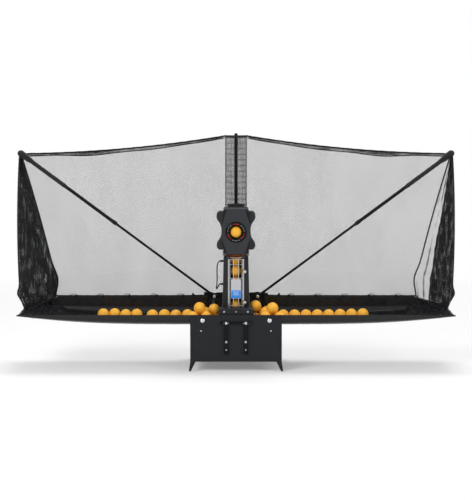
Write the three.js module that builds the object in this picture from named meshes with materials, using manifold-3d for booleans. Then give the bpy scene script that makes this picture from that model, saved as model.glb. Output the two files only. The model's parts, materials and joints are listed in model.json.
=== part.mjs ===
// Table tennis robot. Two ball trays fold up like wings beside a feed tower. The tower lifts the balls
// through a channel to a head with two throwing wheels, and a net on a centre post and two telescopic
// rods catches the returns. Millimetres, +Z up; the robot throws towards -Y.
// The origin is on the floor, below the middle of the whole robot.
import * as THREE from 'three';
import { mergeVertices } from 'three/addons/utils/BufferGeometryUtils.js';
import Module from 'manifold-3d';

const wasm = await Module();
wasm.setup();

// Shared clearances and stock
const gap = 0.3;
const pinPlay = 0.3;
const cutOverrun = 2;
const sheet = 3;
const ballRadius = 20;

// Base: a front and a rear plate on four leg tips, with side walls between them
const baseHalfWidth = 155;
const baseHalfDepth = 125;
const frontPlateTop = 193;
const rearCornerTop = 236;
const rearCornerWidth = 25;
const plateBottom = 33;
const legTipWidth = 7;
const legSplay = 5;
const legRootWidth = 18;
const sideWallOuter = 150;
const floorTop = 141;
const floorHalfWidth = 98;

// Trays
const trayInnerEnd = 100;
const trayTip = 742;
const trayHalfDepth = 118;
const trayFrontRim = 190;
const trayRearRim = 222;
const trayBottom = 150;
const trayTipRise = 33;
const trayRearRimEnd = 620;
const hingeX = 113;
const hingeZ = 174;
const hingeBossRadius = 9;
const hingeBossLength = 20;
const handSlotLength = 90;
const handSlotWidth = 20;
const handSlotInset = 34;

// Balls caught by the right tray, each touching the next
const caughtBallCount = 8;
const caughtBallStart = 163;
const caughtBallContact = 0.8;

// Tray hinge screws
const screwRadius = 4;
const screwHeadRadius = 7;
const screwHeadThickness = 3;
const screwReach = 19;

// Table hooks and their chrome hinge bar
const hookX = 33;
const hookBarZ = 166;
const hookBarRadius = 3;
const hookBarHalfLength = 50;
const hookBarStandoff = 6.5;
const hookLength = 105;
const hookWidth = 14;
const hookThickness = 5;
const hookEyeRadius = 6;
const hookNoseLength = 12;
const lugThickness = 4;
const lugHeight = 14;

// Feed: agitator wheel, its motor and the hood above them
const feedY = -88;
const feedHubRadius = 12;
const feedHubHeight = 38;
const feedPaddleReach = 31;
const feedPaddleWidth = 9;
const feedPaddleHeight = 12;
const feedPaddleCount = 4;
const feedShaftRadius = 4;
const feedShaftLength = 16;
const feedMotorRadius = 18;
const feedMotorHeight = 52;
const hoodHalfWidth = 60;
const hoodHeight = 19;
const hoodDepth = 63;
const hoodCorner = 8;
const ribHeight = 5;
const ribThickness = 3;
const ribCount = 4;
const ribRadius = 60;
const ribSpacing = 11;

// Tower
const channelY = -30;
const channelHalfWidth = 23;
const towerFront = -56;
const towerSplit = 10;
const towerTop = 378;
const towerHalfWidthTop = 42;
const towerHalfWidthBottom = 47;
const towerRearTop = 74;
const towerRearBottom = 86;
const towerChamfer = 9;
const grooveZ = 288;
const grooveDepth = 1.5;
const grooveHeight = 3;
const columnFront = 34;
const columnRise = 110;
const columnTop = towerTop + columnRise;
const driveBoxHalfWidth = 30;
const driveBoxDepth = 28;
const driveBoxHeight = 66;
const driveBoxCorner = 5;

// Adjusting knob on the drive box
const adjusterY = 56;
const adjusterRise = 11;
const adjusterZ = columnTop + adjusterRise;
const adjusterSize = 15;
const adjusterLength = 15;
const adjusterStemLength = 16;
const adjusterStemRadius = 2.6;
const adjusterCorner = 3;

// Wire cage over the channel, its thumb knobs and the label plate
const wireRadius = 1.1;
const cageBottom = 188;
const cageTop = 375;
const cageWireXs = [21, 25.4];
const cageFrontWireX = 8.5;
const rungBottom = 215;
const rungPitch = 47;
const rungCount = 4;
const thumbKnobX = 29.5;
const thumbKnobZs = [228, 334];
const thumbKnobStemRadius = 2.5;
const thumbKnobHubRadius = 6.5;
const thumbKnobHubLength = 13;
const thumbKnobCapRadius = 5.5;
const thumbKnobCapLength = 9;
const labelHalfWidth = 17;
const labelBottom = 240;
const labelTop = 306;
const labelThickness = 1.5;
const labelCorner = 4;
const channelBallCount = 5;
const channelBallTop = 372;

// Pan yoke and tilt pivot, at the height of the nozzle
const nozzleZ = 472;
const yokeRise = 14;
const yokeTop = nozzleZ + yokeRise;
const ringOuterRadius = 31;
const ringInnerRadius = 23.5;
const funnelHeight = 7.5;
const funnelFlare = 10.5;
const funnelWall = 2;
const uprightY = 17;
const uprightHalfWidth = 45.5;
const tiltY = -26;
const armHalfHeight = 11;
const armReach = 9;
const tiltPinRadius = 3;
const tiltHeadRadius = 5.5;
const tiltHeadThickness = 3;

// Head
const coreHalfWidth = 42;
const coreFront = -95.7;
const coreRear = 0;
const coreTop = 76;
const coreBottom = -74;
const coreWaistDepth = 16;
const coreWaistHalfHeight = 40;
const coreWall = 3;
const facePlateFront = -110;
const facePlateHalfTop = 29;
const facePlateHalfWaist = 49;
const facePlateTop = 80;
const facePlateBottom = -76;
const facePlateWaist = 17;
const facePlateBevel = 3;
const earFront = -84;
const earChamfer = 4.5;
const earOuterXs = [57, 63.5, 66, 63, 54, 50, 49.5, 50.5, 55, 64, 65.5, 62.5, 56];
const earHeights = [68, 62, 50, 40, 25, 13, 0, -12, -24, -39, -49, -58, -62];
const earRears = [-46, -44.5, -45, -50, -60, -67, -70, -66, -59, -47, -41, -39, -40];
const ventRadius = 1.9;
const ventPitch = 6.5;
const ventColumns = 3;
const ventRows = 2;
const ventFirstY = -41;
const nozzleRingRadius = 33.5;
const nozzleRingProud = 3;
const nozzleRingRim = 4;
const nozzleBoreRadius = 22;
const nozzleTubeRadius = 25;
const nozzleTubeEnd = -84;
const wheelY = -70;
const wheelRadius = 19;
const wheelHalfWidth = 11;
const wheelNip = 0.5;
const wheelGroove = 1.6;
const motorRadius = 12;
const motorLength = 24;
const motorShaftRadius = 2.5;

// Net rods, their sockets and the centre post
const rodX = 75;
const rodY = 50;
const rodPivotZ = 232;
const rodTipX = 750;
const rodTipZ = 735;
const socketRadius = 9;
const rodEyeRadius = 7;
const rodEyeHalfWidth = 5;
const rodPinRadius = 2.5;
const forkEarThickness = 3;
const lowerRodRadius = 5;
const lowerRodLength = 470;
const upperTubeRadius = 7;
const upperTubeBore = 5.5;
const upperTubeLength = 420;
const rodCollarRadius = 9;
const rodCollarLength = 18;
const rodCapRadius = 8;
const rodCapWall = 12;
const postY = 100;
const postRadius = 6;
const postTop = 796;
const postSocketRadius = 10;
const postSocketTop = 226;

// Net: four flat panels and the gathered sleeve in front of the post
const netThickness = 1.6;
const netBar = 2.2;
const netSag = 14;
const sleeveHalfWidth = 35;
const sleeveY = 91;
const sleeveCurve = 10;
const sleeveFoldDepth = 2.6;
const sleeveFolds = 7;
const sleeveThickness = 2;
const sleeveBottom = 234;
const netPostDrop = 7;
const netCornerDrop = 6;
const netCornerInset = 8;
const netTopInner = postTop - netPostDrop;
const netTopOuter = rodTipZ - netCornerDrop;
const netTopOuterX = rodTipX - netCornerInset;
const netCornerBow = 16;
const sidePanelTopDepth = 26;
const sidePanelTopDrop = 15;
const sidePanelInset = 7;
const sidePanelFrontX = trayTip - sidePanelInset;
const sidePanelFrontY = -40;
const sidePanelLift = 2;
const sidePanelFrontZ = trayFrontRim + sidePanelLift;
const backColumns = 11;
const backRows = 7;
const sideColumns = 3;
const sideRows = 7;

// Cable loop on the tower's left side, from the collar below the head back to the tower
const cableRadius = 2;
const cableSides = 8;
const cableSteps = 36;
const grommetRadius = 4;
const grommetLength = 4;
const cableLeavesY = -38;
const cableLeavesZ = 366;
const cableReturnsY = 44;
const cableReturnsZ = 276;
const cableStraight = 6;
const cableHang = [
  [-63, -30, 354], [-65, -18, 334], [-65, -4, 310], [-65.5, 9, 288], [-67, 20, 270],
  [-68, 29, 261], [-66, 37, 261.5], [-61, 42.5, 269],
];

// Colours and finishes
const finish = (color, roughness, metalness) =>
  new THREE.MeshStandardMaterial({ color, roughness, metalness });
const blackPlastic = finish(0x202226, 0.42, 0);
const trayPlastic = finish(0x1c1e22, 0.3, 0);
const headPlastic = finish(0x46474b, 0.45, 0);
const coverPlastic = finish(0x33363a, 0.4, 0);
const towerPlastic = finish(0x2d2b2c, 0.5, 0);
const glossBlack = finish(0x0c0c0e, 0.12, 0);
const clearPlastic = finish(0xcfd3d6, 0.1, 0);
const chrome = finish(0xc9ccd0, 0.18, 1);
const steel = finish(0x8d9095, 0.4, 1);
const ballOrange = finish(0xf5a030, 0.45, 0);
const wheelRubber = finish(0x1b1b1c, 0.85, 0);
const funnelAmber = finish(0xd9761c, 0.2, 0);
const labelGrey = finish(0xbebec2, 0.5, 0);
const knobBrown = finish(0x5a3a22, 0.25, 0);
const netNylon = finish(0x17181a, 0.9, 0);
const cableBlack = finish(0x141415, 0.5, 0);

const cylinderSides = 16;
const halfTurn = Math.PI;
const quarterTurn = Math.PI / 2;

// A closed geometry as a solid that can be joined and cut
function solidOf(geometry) {
  const bare = new THREE.BufferGeometry();
  bare.setAttribute('position', geometry.attributes.position.clone());
  if (geometry.index) bare.setIndex(geometry.index.clone());
  const merged = mergeVertices(bare);
  return new wasm.Manifold(new wasm.Mesh({
    numProp: 3,
    vertProperties: Float32Array.from(merged.attributes.position.array),
    triVerts: Uint32Array.from(merged.index.array),
  }));
}

function geometryOf(solid) {
  const mesh = solid.getMesh();
  const geometry = new THREE.BufferGeometry();
  geometry.setAttribute('position', new THREE.BufferAttribute(Float32Array.from(mesh.vertProperties), 3));
  geometry.setIndex(Array.from(mesh.triVerts));
  geometry.computeVertexNormals();
  return geometry;
}

const cut = (body, ...tools) =>
  geometryOf(tools.reduce((solid, tool) => solid.subtract(solidOf(tool)), solidOf(body)));
const join = (body, ...others) =>
  geometryOf(others.reduce((solid, other) => solid.add(solidOf(other)), solidOf(body)));

const box = (x0, x1, y0, y1, z0, z1) =>
  new THREE.BoxGeometry(x1 - x0, y1 - y0, z1 - z0)
    .translate((x0 + x1) / 2, (y0 + y1) / 2, (z0 + z1) / 2);

// Cylinders along the three axes, each from one coordinate to another
const cylinderX = (radius, x0, x1, y, z, sides = cylinderSides) =>
  new THREE.CylinderGeometry(radius, radius, x1 - x0, sides)
    .rotateZ(quarterTurn).translate((x0 + x1) / 2, y, z);
const cylinderY = (radius, y0, y1, x, z, sides = cylinderSides) =>
  new THREE.CylinderGeometry(radius, radius, y1 - y0, sides).translate(x, (y0 + y1) / 2, z);
const cylinderZ = (radius, z0, z1, x, y, sides = cylinderSides) =>
  new THREE.CylinderGeometry(radius, radius, z1 - z0, sides)
    .rotateX(quarterTurn).translate(x, y, (z0 + z1) / 2);

const shapeOf = (points) => new THREE.Shape(points.map(([a, b]) => new THREE.Vector2(a, b)));
const extrude = (shape, depth) =>
  new THREE.ExtrudeGeometry(shape, { depth, bevelEnabled: false, curveSegments: 4 });

// Outlines drawn in XZ, YZ or XY, extruded along the remaining axis
const plateXZ = (shape, y0, y1) => extrude(shape, y1 - y0).rotateX(quarterTurn).translate(0, y1, 0);
const plateXY = (shape, z0, z1) => extrude(shape, z1 - z0).translate(0, 0, z0);
function plateYZ(shape, x0, x1) {
  const turn = new THREE.Matrix4().makeBasis(
    new THREE.Vector3(0, 1, 0), new THREE.Vector3(0, 0, 1), new THREE.Vector3(1, 0, 0));
  return extrude(shape, x1 - x0).applyMatrix4(turn).translate(x0, 0, 0);
}

const mirrored = (points) => [...points, ...points.map(([x, z]) => [-x, z]).reverse()];

function roundedRectangle(x0, x1, y0, y1, radius) {
  const shape = new THREE.Shape();
  shape.moveTo(x0 + radius, y0);
  shape.lineTo(x1 - radius, y0);
  shape.absarc(x1 - radius, y0 + radius, radius, -quarterTurn, 0);
  shape.absarc(x1 - radius, y1 - radius, radius, 0, quarterTurn);
  shape.absarc(x0 + radius, y1 - radius, radius, quarterTurn, halfTurn);
  shape.absarc(x0 + radius, y0 + radius, radius, halfTurn, halfTurn + quarterTurn);
  return shape;
}

// A closed body from points and triangles, turned so that its faces point out
function closedBody(points, triangles) {
  let volume = 0;
  for (const [a, b, c] of triangles) {
    volume += points[a].dot(new THREE.Vector3().crossVectors(points[b], points[c]));
  }
  const outward = volume > 0 ? triangles : triangles.map(([a, b, c]) => [a, c, b]);
  const geometry = new THREE.BufferGeometry().setFromPoints(points);
  geometry.setIndex(outward.flat());
  geometry.computeVertexNormals();
  return geometry;
}

// A skin through rings of the same number of points, capped at both ends.
// flatten gives the two coordinates in which a ring's outline is drawn.
function loft(rings, flatten) {
  const count = rings[0].length;
  const triangles = [];
  for (let r = 0; r + 1 < rings.length; r += 1) {
    for (let i = 0; i < count; i += 1) {
      const next = (i + 1) % count;
      const a = r * count + i;
      const b = r * count + next;
      triangles.push([a, b, b + count], [a, b + count, a + count]);
    }
  }
  const outline = rings[0].map(flatten);
  const last = (rings.length - 1) * count;
  const lastOutline = rings[rings.length - 1].map(flatten);
  const flip = THREE.ShapeUtils.isClockWise(outline);
  const cap = (face, start, reverse) => {
    const [a, b, c] = face.map((i) => i + start);
    triangles.push(reverse ? [a, c, b] : [a, b, c]);
  };
  THREE.ShapeUtils.triangulateShape(outline, []).forEach((face) => cap(face, 0, !flip));
  THREE.ShapeUtils.triangulateShape(lastOutline, []).forEach((face) => cap(face, last, flip));
  return closedBody(rings.flat(), triangles);
}

const robot = new THREE.Group();

// The front and rear extremes at rest are the hooks and the rear hinge screws
const hookFront = baseHalfDepth + hookBarStandoff + hookEyeRadius;
const screwHeadRear = baseHalfDepth + gap + screwHeadThickness;
robot.position.y = (hookFront - screwHeadRear) / 2;

function add(name, geometry, material, parent = robot) {
  const mesh = new THREE.Mesh(geometry, material);
  mesh.name = name;
  parent.add(mesh);
  return mesh;
}

const sides = [['left', -1], ['right', 1]];

// Base plates: legs splay out a little to their tips
function legOutline(top, corners) {
  return shapeOf(mirrored([
    ...corners,
    [baseHalfWidth, top],
    [baseHalfWidth, plateBottom],
    [baseHalfWidth + legSplay, 0],
    [baseHalfWidth + legSplay - legTipWidth, 0],
    [baseHalfWidth - legRootWidth, plateBottom],
  ]));
}

function hingeHoles(y0, y1) {
  return sides.map(([, side]) =>
    cylinderY(screwRadius + pinPlay, y0 - cutOverrun, y1 + cutOverrun, side * hingeX, hingeZ));
}

function buildPlates() {
  const inner = baseHalfDepth - sheet;
  const front = plateXZ(legOutline(frontPlateTop, []), -baseHalfDepth, -inner);
  const lugs = sides.flatMap(([, side]) => {
    const x0 = side * (hookBarHalfLength - lugThickness / 2) - lugThickness / 2;
    return [box(x0, x0 + lugThickness, -baseHalfDepth - hookBarStandoff - hookEyeRadius,
      -inner - sheet / 2, hookBarZ - lugHeight / 2, hookBarZ + lugHeight / 2)];
  });
  const barHole = cylinderX(hookBarRadius + pinPlay, -hookBarHalfLength - cutOverrun,
    hookBarHalfLength + cutOverrun, -baseHalfDepth - hookBarStandoff, hookBarZ);
  add('front_plate',
    cut(join(front, ...lugs), barHole, ...hingeHoles(-baseHalfDepth, -inner)), blackPlastic);

  const rearCorners = [
    [baseHalfWidth - rearCornerWidth * 2, frontPlateTop],
    [baseHalfWidth - rearCornerWidth, frontPlateTop + (rearCornerTop - frontPlateTop) / 2],
  ];
  const rear = plateXZ(legOutline(rearCornerTop, rearCorners), inner, baseHalfDepth);
  add('rear_plate', cut(rear, ...hingeHoles(inner, baseHalfDepth)), blackPlastic);
}

// Height of the tray's rounded underside at a place across it, as a share from its middle to its edge
const barrelPower = 3.2;
const barrelHeight = (acrossShare, bottom) =>
  trayFrontRim - (trayFrontRim - bottom) * (1 - Math.abs(acrossShare) ** barrelPower) ** (1 / barrelPower);

const barrelShares = [-1, -0.985, -0.93, -0.8, -0.5, 0, 0.5, 0.8, 0.93, 0.985, 1];

function buildSideWalls() {
  const reach = baseHalfDepth - sheet - gap;
  const top = barrelShares
    .map((share) => [share * trayHalfDepth, barrelHeight(share, trayBottom) - sheet])
    .map(([y, z]) => [y, Math.min(z, hingeZ)]);
  const outline = shapeOf([
    [-reach, plateBottom], [reach, plateBottom], [reach, top[0][1]],
    ...top.slice().reverse(), [-reach, top[0][1]],
  ]);
  for (const [name, side] of sides) {
    const x0 = side > 0 ? sideWallOuter - sheet : -sideWallOuter;
    add(`side_wall_${name}`, plateYZ(outline, x0, x0 + sheet), blackPlastic);
  }
}

// Hopper floor between the trays, with curved ribs that lead the balls to the feed
function rib(side, number) {
  const radius = ribRadius + number * ribSpacing;
  const shape = new THREE.Shape();
  const start = side > 0 ? -quarterTurn / 3 : halfTurn - quarterTurn / 4;
  const end = side > 0 ? quarterTurn / 4 : halfTurn + quarterTurn / 3;
  shape.absarc(0, feedY, radius, start, end, false);
  shape.absarc(0, feedY, radius - ribThickness, end, start, true);
  return plateXY(shape, floorTop - sheet / 2, floorTop + ribHeight);
}

function buildHopper() {
  const reach = baseHalfDepth - sheet - gap;
  const slab = box(-floorHalfWidth, floorHalfWidth, -reach, reach, floorTop - sheet, floorTop);
  const ribs = sides.flatMap(([, side]) =>
    Array.from({ length: ribCount - 1 }, (unused, number) => rib(side, number)));
  const trim = box(-floorHalfWidth, floorHalfWidth, -reach, reach,
    floorTop - sheet, floorTop + ribHeight);
  const shaftHole = cylinderZ(feedShaftRadius + pinPlay, floorTop - sheet - cutOverrun,
    floorTop + cutOverrun, 0, feedY);
  const floor = solidOf(join(slab, ...ribs)).intersect(solidOf(trim)).subtract(solidOf(shaftHole));
  add('hopper_floor', geometryOf(floor), blackPlastic);

  const hubBottom = floorTop + gap;
  const hub = cylinderZ(feedHubRadius, hubBottom, hubBottom + feedHubHeight, 0, feedY);
  const paddles = Array.from({ length: feedPaddleCount }, (unused, number) =>
    box(0, feedPaddleReach, -feedPaddleWidth / 2, feedPaddleWidth / 2, hubBottom, hubBottom + feedPaddleHeight)
      .rotateZ((number + 1 / 2) * 2 * halfTurn / feedPaddleCount)
      .translate(0, feedY, 0));
  const bore = cylinderZ(feedShaftRadius + pinPlay, hubBottom - cutOverrun,
    floorTop - sheet + feedShaftLength + gap, 0, feedY);
  add('feed_wheel', cut(join(hub, ...paddles), bore), blackPlastic);

  const motorTop = floorTop - sheet - gap;
  add('feed_motor', join(
    cylinderZ(feedMotorRadius, motorTop - feedMotorHeight, motorTop, 0, feedY),
    cylinderZ(feedShaftRadius, motorTop - sheet, floorTop - sheet + feedShaftLength, 0, feedY)), steel);

  const hoodBottom = frontPlateTop + gap;
  const hoodOutline = (inset) => {
    const half = hoodHalfWidth - inset;
    const top = hoodBottom + hoodHeight - inset;
    const corner = hoodCorner - inset;
    const shape = new THREE.Shape();
    const bottom = hoodBottom - (inset > 0 ? cutOverrun : 0);
    shape.moveTo(-half, bottom);
    shape.lineTo(half, bottom);
    shape.lineTo(half, top - corner);
    shape.absarc(half - corner, top - corner, corner, 0, quarterTurn);
    shape.absarc(corner - half, top - corner, corner, quarterTurn, halfTurn);
    return shape;
  };
  add('feed_hood', cut(
    plateXZ(hoodOutline(0), -baseHalfDepth, -baseHalfDepth + hoodDepth),
    plateXZ(hoodOutline(sheet), -baseHalfDepth + sheet, -baseHalfDepth + hoodDepth + cutOverrun)), blackPlastic);
}

// Trays: a half barrel that grows shallow towards its tip
const trayStationShares = [0, 0.16, 0.34, 0.52, 0.66, 0.78, 0.87, 0.94, 1];
const trayRisePower = 3.5;

function traySection(lengthShare) {
  const x = trayInnerEnd + (trayTip - trayInnerEnd) * lengthShare;
  const bottom = trayBottom + trayTipRise * lengthShare ** trayRisePower;
  const pastRim = Math.max(0, (x - trayRearRimEnd) / (trayTip - trayRearRimEnd));
  const rearRim = trayRearRim + (trayFrontRim - trayRearRim) * pastRim;
  const wallShare = 1 - sheet / trayHalfDepth;
  const skin = (scale, lift) => barrelShares.map((share) => {
    const z = Math.min(barrelHeight(share, bottom) + lift, trayFrontRim);
    return new THREE.Vector3(x, share * scale * trayHalfDepth, z);
  });
  const outer = skin(1, 0);
  const inner = skin(wallShare, sheet);
  const rearOuter = new THREE.Vector3(x, trayHalfDepth, Math.max(rearRim, trayFrontRim + gap));
  const rearInner = new THREE.Vector3(x, trayHalfDepth - sheet, rearOuter.z);
  inner[0].z = trayFrontRim;
  return [...outer, rearOuter, rearInner, ...inner.reverse()];
}

// Height of the trough's floor at a place along the tray, on the straight runs between its stations
function trayFloorAt(x) {
  const stations = trayStationShares.map((share) => [
    trayInnerEnd + (trayTip - trayInnerEnd) * share, trayBottom + trayTipRise * share ** trayRisePower + sheet]);
  const next = stations.findIndex(([stationX]) => stationX > x);
  const [x0, z0] = stations[next - 1];
  const [x1, z1] = stations[next];
  return z0 + (z1 - z0) * (x - x0) / (x1 - x0);
}

// The balls touch end to end at their poles, so the row is one body
function buildCaughtBalls() {
  const balls = Array.from({ length: caughtBallCount }, (unused, number) => {
    const x = caughtBallStart + number * (2 * ballRadius - caughtBallContact);
    const floor = Math.max(trayFloorAt(x), trayFloorAt(x + ballRadius / 2));
    return new THREE.SphereGeometry(ballRadius, 16, 8).rotateZ(quarterTurn)
      .translate(x, 0, floor + gap + ballRadius);
  });
  add('tray_balls_right', join(...balls), ballOrange);
}

function buildTrays() {
  const body = loft(trayStationShares.map(traySection), (point) => new THREE.Vector2(point.y, point.z));
  const bossEnd = baseHalfDepth - sheet - gap;
  const bosses = [
    cylinderY(hingeBossRadius, -bossEnd, -bossEnd + hingeBossLength, hingeX, hingeZ),
    cylinderY(hingeBossRadius, bossEnd - hingeBossLength, bossEnd, hingeX, hingeZ),
  ];
  const bore = cylinderY(screwRadius + pinPlay, -bossEnd - cutOverrun, bossEnd + cutOverrun, hingeX, hingeZ);
  const slotX = trayTip - handSlotInset;
  const slotTool = plateXY(
    roundedRectangle(slotX - handSlotWidth / 2, slotX + handSlotWidth / 2,
      -handSlotLength / 2, handSlotLength / 2, handSlotWidth / 2 - cutOverrun),
    trayBottom, trayRearRim);
  const right = cut(join(body, ...bosses), bore, slotTool);
  add('tray_right', right, trayPlastic);
  add('tray_left', geometryOf(solidOf(right).mirror([1, 0, 0])), trayPlastic);

  for (const [name, side] of sides) {
    for (const [end, towards] of [['front', -1], ['rear', 1]]) {
      const under = towards * (baseHalfDepth + gap);
      const outside = under + towards * screwHeadThickness;
      const inside = under - towards * screwReach;
      add(`tray_screw_${end}_${name}`, join(
        cylinderY(screwHeadRadius, Math.min(under, outside), Math.max(under, outside), side * hingeX, hingeZ),
        cylinderY(screwRadius, Math.min(inside, outside), Math.max(inside, outside), side * hingeX, hingeZ)), chrome);
    }
  }
}

// Table hooks hang from a chrome bar and swing up to reach over the end of a table
function buildHooks() {
  const barY = -baseHalfDepth - hookBarStandoff;
  add('hook_bar', cylinderX(hookBarRadius, -hookBarHalfLength, hookBarHalfLength, barY, hookBarZ), chrome);
  const half = hookWidth / 2;
  for (const [name, side] of sides) {
    const x = side * hookX;
    const arm = box(x - half, x + half, barY - hookThickness / 2, barY + hookThickness / 2,
      hookBarZ - hookLength, hookBarZ);
    const nose = box(x - half, x + half, barY - hookThickness / 2 - hookEyeRadius / 2,
      barY + hookThickness / 2, hookBarZ - hookLength, hookBarZ - hookLength + hookNoseLength);
    const eye = cylinderX(hookEyeRadius, x - half, x + half, barY, hookBarZ);
    const hole = cylinderX(hookBarRadius + pinPlay, x - hookWidth, x + hookWidth, barY, hookBarZ);
    add(`table_hook_${name}`, cut(join(eye, arm, nose), hole), blackPlastic);
  }
}

// Tower: a front column that carries the open ball channel, and a rear casing
function towerRing(z, y0, y1, chamferFront, chamferRear) {
  const up = (z - floorTop) / (towerTop - floorTop);
  const half = towerHalfWidthBottom + (towerHalfWidthTop - towerHalfWidthBottom) * Math.min(up, 1);
  return [
    [-half + chamferFront, y0], [half - chamferFront, y0], [half, y0 + chamferFront],
    [half, y1 - chamferRear], [half - chamferRear, y1], [-half + chamferRear, y1],
    [-half, y1 - chamferRear], [-half, y0 + chamferFront],
  ].map(([x, y]) => new THREE.Vector3(x, y, z));
}

const towerRear = (z) =>
  towerRearBottom + (towerRearTop - towerRearBottom) * (z - floorTop) / (towerTop - floorTop);
const topView = (point) => new THREE.Vector2(point.x, point.y);

const cableEnds = [
  new THREE.Vector3(-towerHalfWidthTop, cableLeavesY, cableLeavesZ),
  new THREE.Vector3(-towerHalfWidthTop, cableReturnsY, cableReturnsZ),
];

function grommet(end) {
  return cylinderX(grommetRadius, -towerHalfWidthTop - grommetLength * 2, -towerHalfWidthTop + grommetLength,
    end.y, end.z, cableSides);
}

function buildTower() {
  const foot = floorTop + gap;
  const frontBody = loft([foot, towerTop].map((z) => towerRing(z, towerFront, towerSplit, sheet, gap)), topView);
  const channel = box(-channelHalfWidth, channelHalfWidth, towerFront - cutOverrun,
    channelY + ballRadius + gap, foot - cutOverrun, towerTop + cutOverrun);
  const pockets = sides.map(([, side]) => {
    const near = side * (channelHalfWidth + sheet);
    const far = side * (towerHalfWidthTop - sheet);
    return box(Math.min(near, far), Math.max(near, far), towerFront + sheet, towerSplit - sheet,
      foot - cutOverrun, towerTop - sheet);
  });
  add('tower_channel', cut(join(frontBody, grommet(cableEnds[0])), channel, ...pockets), towerPlastic);

  const casing = (inset, y0) => loft([foot, grooveZ, towerTop].map((z) =>
    towerRing(z, y0, towerRear(z) - inset, gap, towerChamfer)
      .map((point) => new THREE.Vector3(
        Math.sign(point.x) * (Math.abs(point.x) - inset), point.y, point.z))), topView);
  const hollow = casing(sheet, towerSplit - cutOverrun);
  const lid = box(-towerHalfWidthBottom, towerHalfWidthBottom, towerSplit - cutOverrun * 2,
    towerRearBottom, towerTop - sheet, towerTop + cutOverrun);
  const inside = geometryOf(solidOf(hollow).subtract(solidOf(lid)));
  const groove = sides.map(([, side]) => box(
    side > 0 ? towerHalfWidthTop + grooveDepth : -towerHalfWidthBottom - grooveDepth,
    side > 0 ? towerHalfWidthBottom + grooveDepth : -towerHalfWidthTop - grooveDepth,
    towerSplit, towerRearBottom, grooveZ, grooveZ + grooveHeight));
  add('tower_casing',
    cut(join(casing(0, towerSplit + gap), grommet(cableEnds[1])), inside, ...groove), towerPlastic);

  const column = (inset, z0, z1) => loft([z0, z1].map((z) =>
    towerRing(towerTop, columnFront + inset, towerRearTop - inset, gap, towerChamfer)
      .map((point) => new THREE.Vector3(
        Math.sign(point.x) * (Math.abs(point.x) - inset), point.y, z))), topView);
  add('tower_column', cut(
    column(0, towerTop + gap, columnTop),
    column(sheet, towerTop - cutOverrun, columnTop - sheet)), towerPlastic);

  const driveY = (columnFront + towerRearTop) / 2;
  const driveOutline = roundedRectangle(-driveBoxHalfWidth, driveBoxHalfWidth,
    driveY - driveBoxDepth / 2, driveY + driveBoxDepth / 2, driveBoxCorner);
  add('drive_box', plateXY(driveOutline, columnTop + gap, columnTop + gap + driveBoxHeight), coverPlastic);

  const stemEnd = -driveBoxHalfWidth - gap;
  const knobEnd = stemEnd - adjusterStemLength;
  const knob = plateYZ(roundedRectangle(
    adjusterY - adjusterSize / 2, adjusterY + adjusterSize / 2,
    adjusterZ - adjusterSize / 2, adjusterZ + adjusterSize / 2, adjusterCorner), knobEnd - adjusterLength, knobEnd);
  add('adjusting_knob', join(knob,
    cylinderX(adjusterStemRadius, knobEnd - adjusterCorner, stemEnd, adjusterY, adjusterZ)), clearPlastic);

}

// Chrome cage in front of the channel, with two thumb knobs and a label plate
function buildCage() {
  const cageY = towerFront - gap - wireRadius;
  const wires = sides.flatMap(([, side]) => [cageFrontWireX, ...cageWireXs].map((x) =>
    cylinderZ(wireRadius, cageBottom, cageTop, side * x, cageY, 6)));
  const reach = cageWireXs[cageWireXs.length - 1];
  const rungs = Array.from({ length: rungCount }, (unused, number) =>
    cylinderX(wireRadius, -reach, reach, cageY, rungBottom + number * rungPitch, 6));
  const ends = [cageBottom + wireRadius, cageTop - wireRadius].map((z) =>
    cylinderX(wireRadius, -reach, reach, cageY, z, 6));
  add('wire_cage', join(...wires, ...rungs, ...ends), chrome);

  const hubStart = cageY - wireRadius - gap;
  thumbKnobZs.forEach((z, number) => {
    const hubEnd = hubStart - thumbKnobHubLength;
    const capEnd = hubEnd - thumbKnobCapLength;
    add(`thumb_knob_${number === 0 ? 'lower' : 'upper'}`, join(
      cylinderY(thumbKnobStemRadius, hubEnd, towerFront - gap, thumbKnobX, z, 10),
      cylinderY(thumbKnobHubRadius, hubEnd, hubStart, thumbKnobX, z, 12),
      cylinderY(thumbKnobCapRadius, capEnd, hubEnd + wireRadius, thumbKnobX, z, 8)), knobBrown);
  });

  const labelBack = cageY - wireRadius - gap;
  add('label_plate', plateXZ(
    roundedRectangle(-labelHalfWidth, labelHalfWidth, labelBottom, labelTop, labelCorner),
    labelBack - labelThickness, labelBack), labelGrey);

  for (let number = 0; number < channelBallCount; number += 1) {
    const z = channelBallTop - number * (2 * ballRadius + gap);
    add(`channel_ball_${channelBallCount - number}`,
      new THREE.SphereGeometry(ballRadius, 16, 10).rotateX(quarterTurn).translate(0, channelY, z), ballOrange);
  }
}

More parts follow.
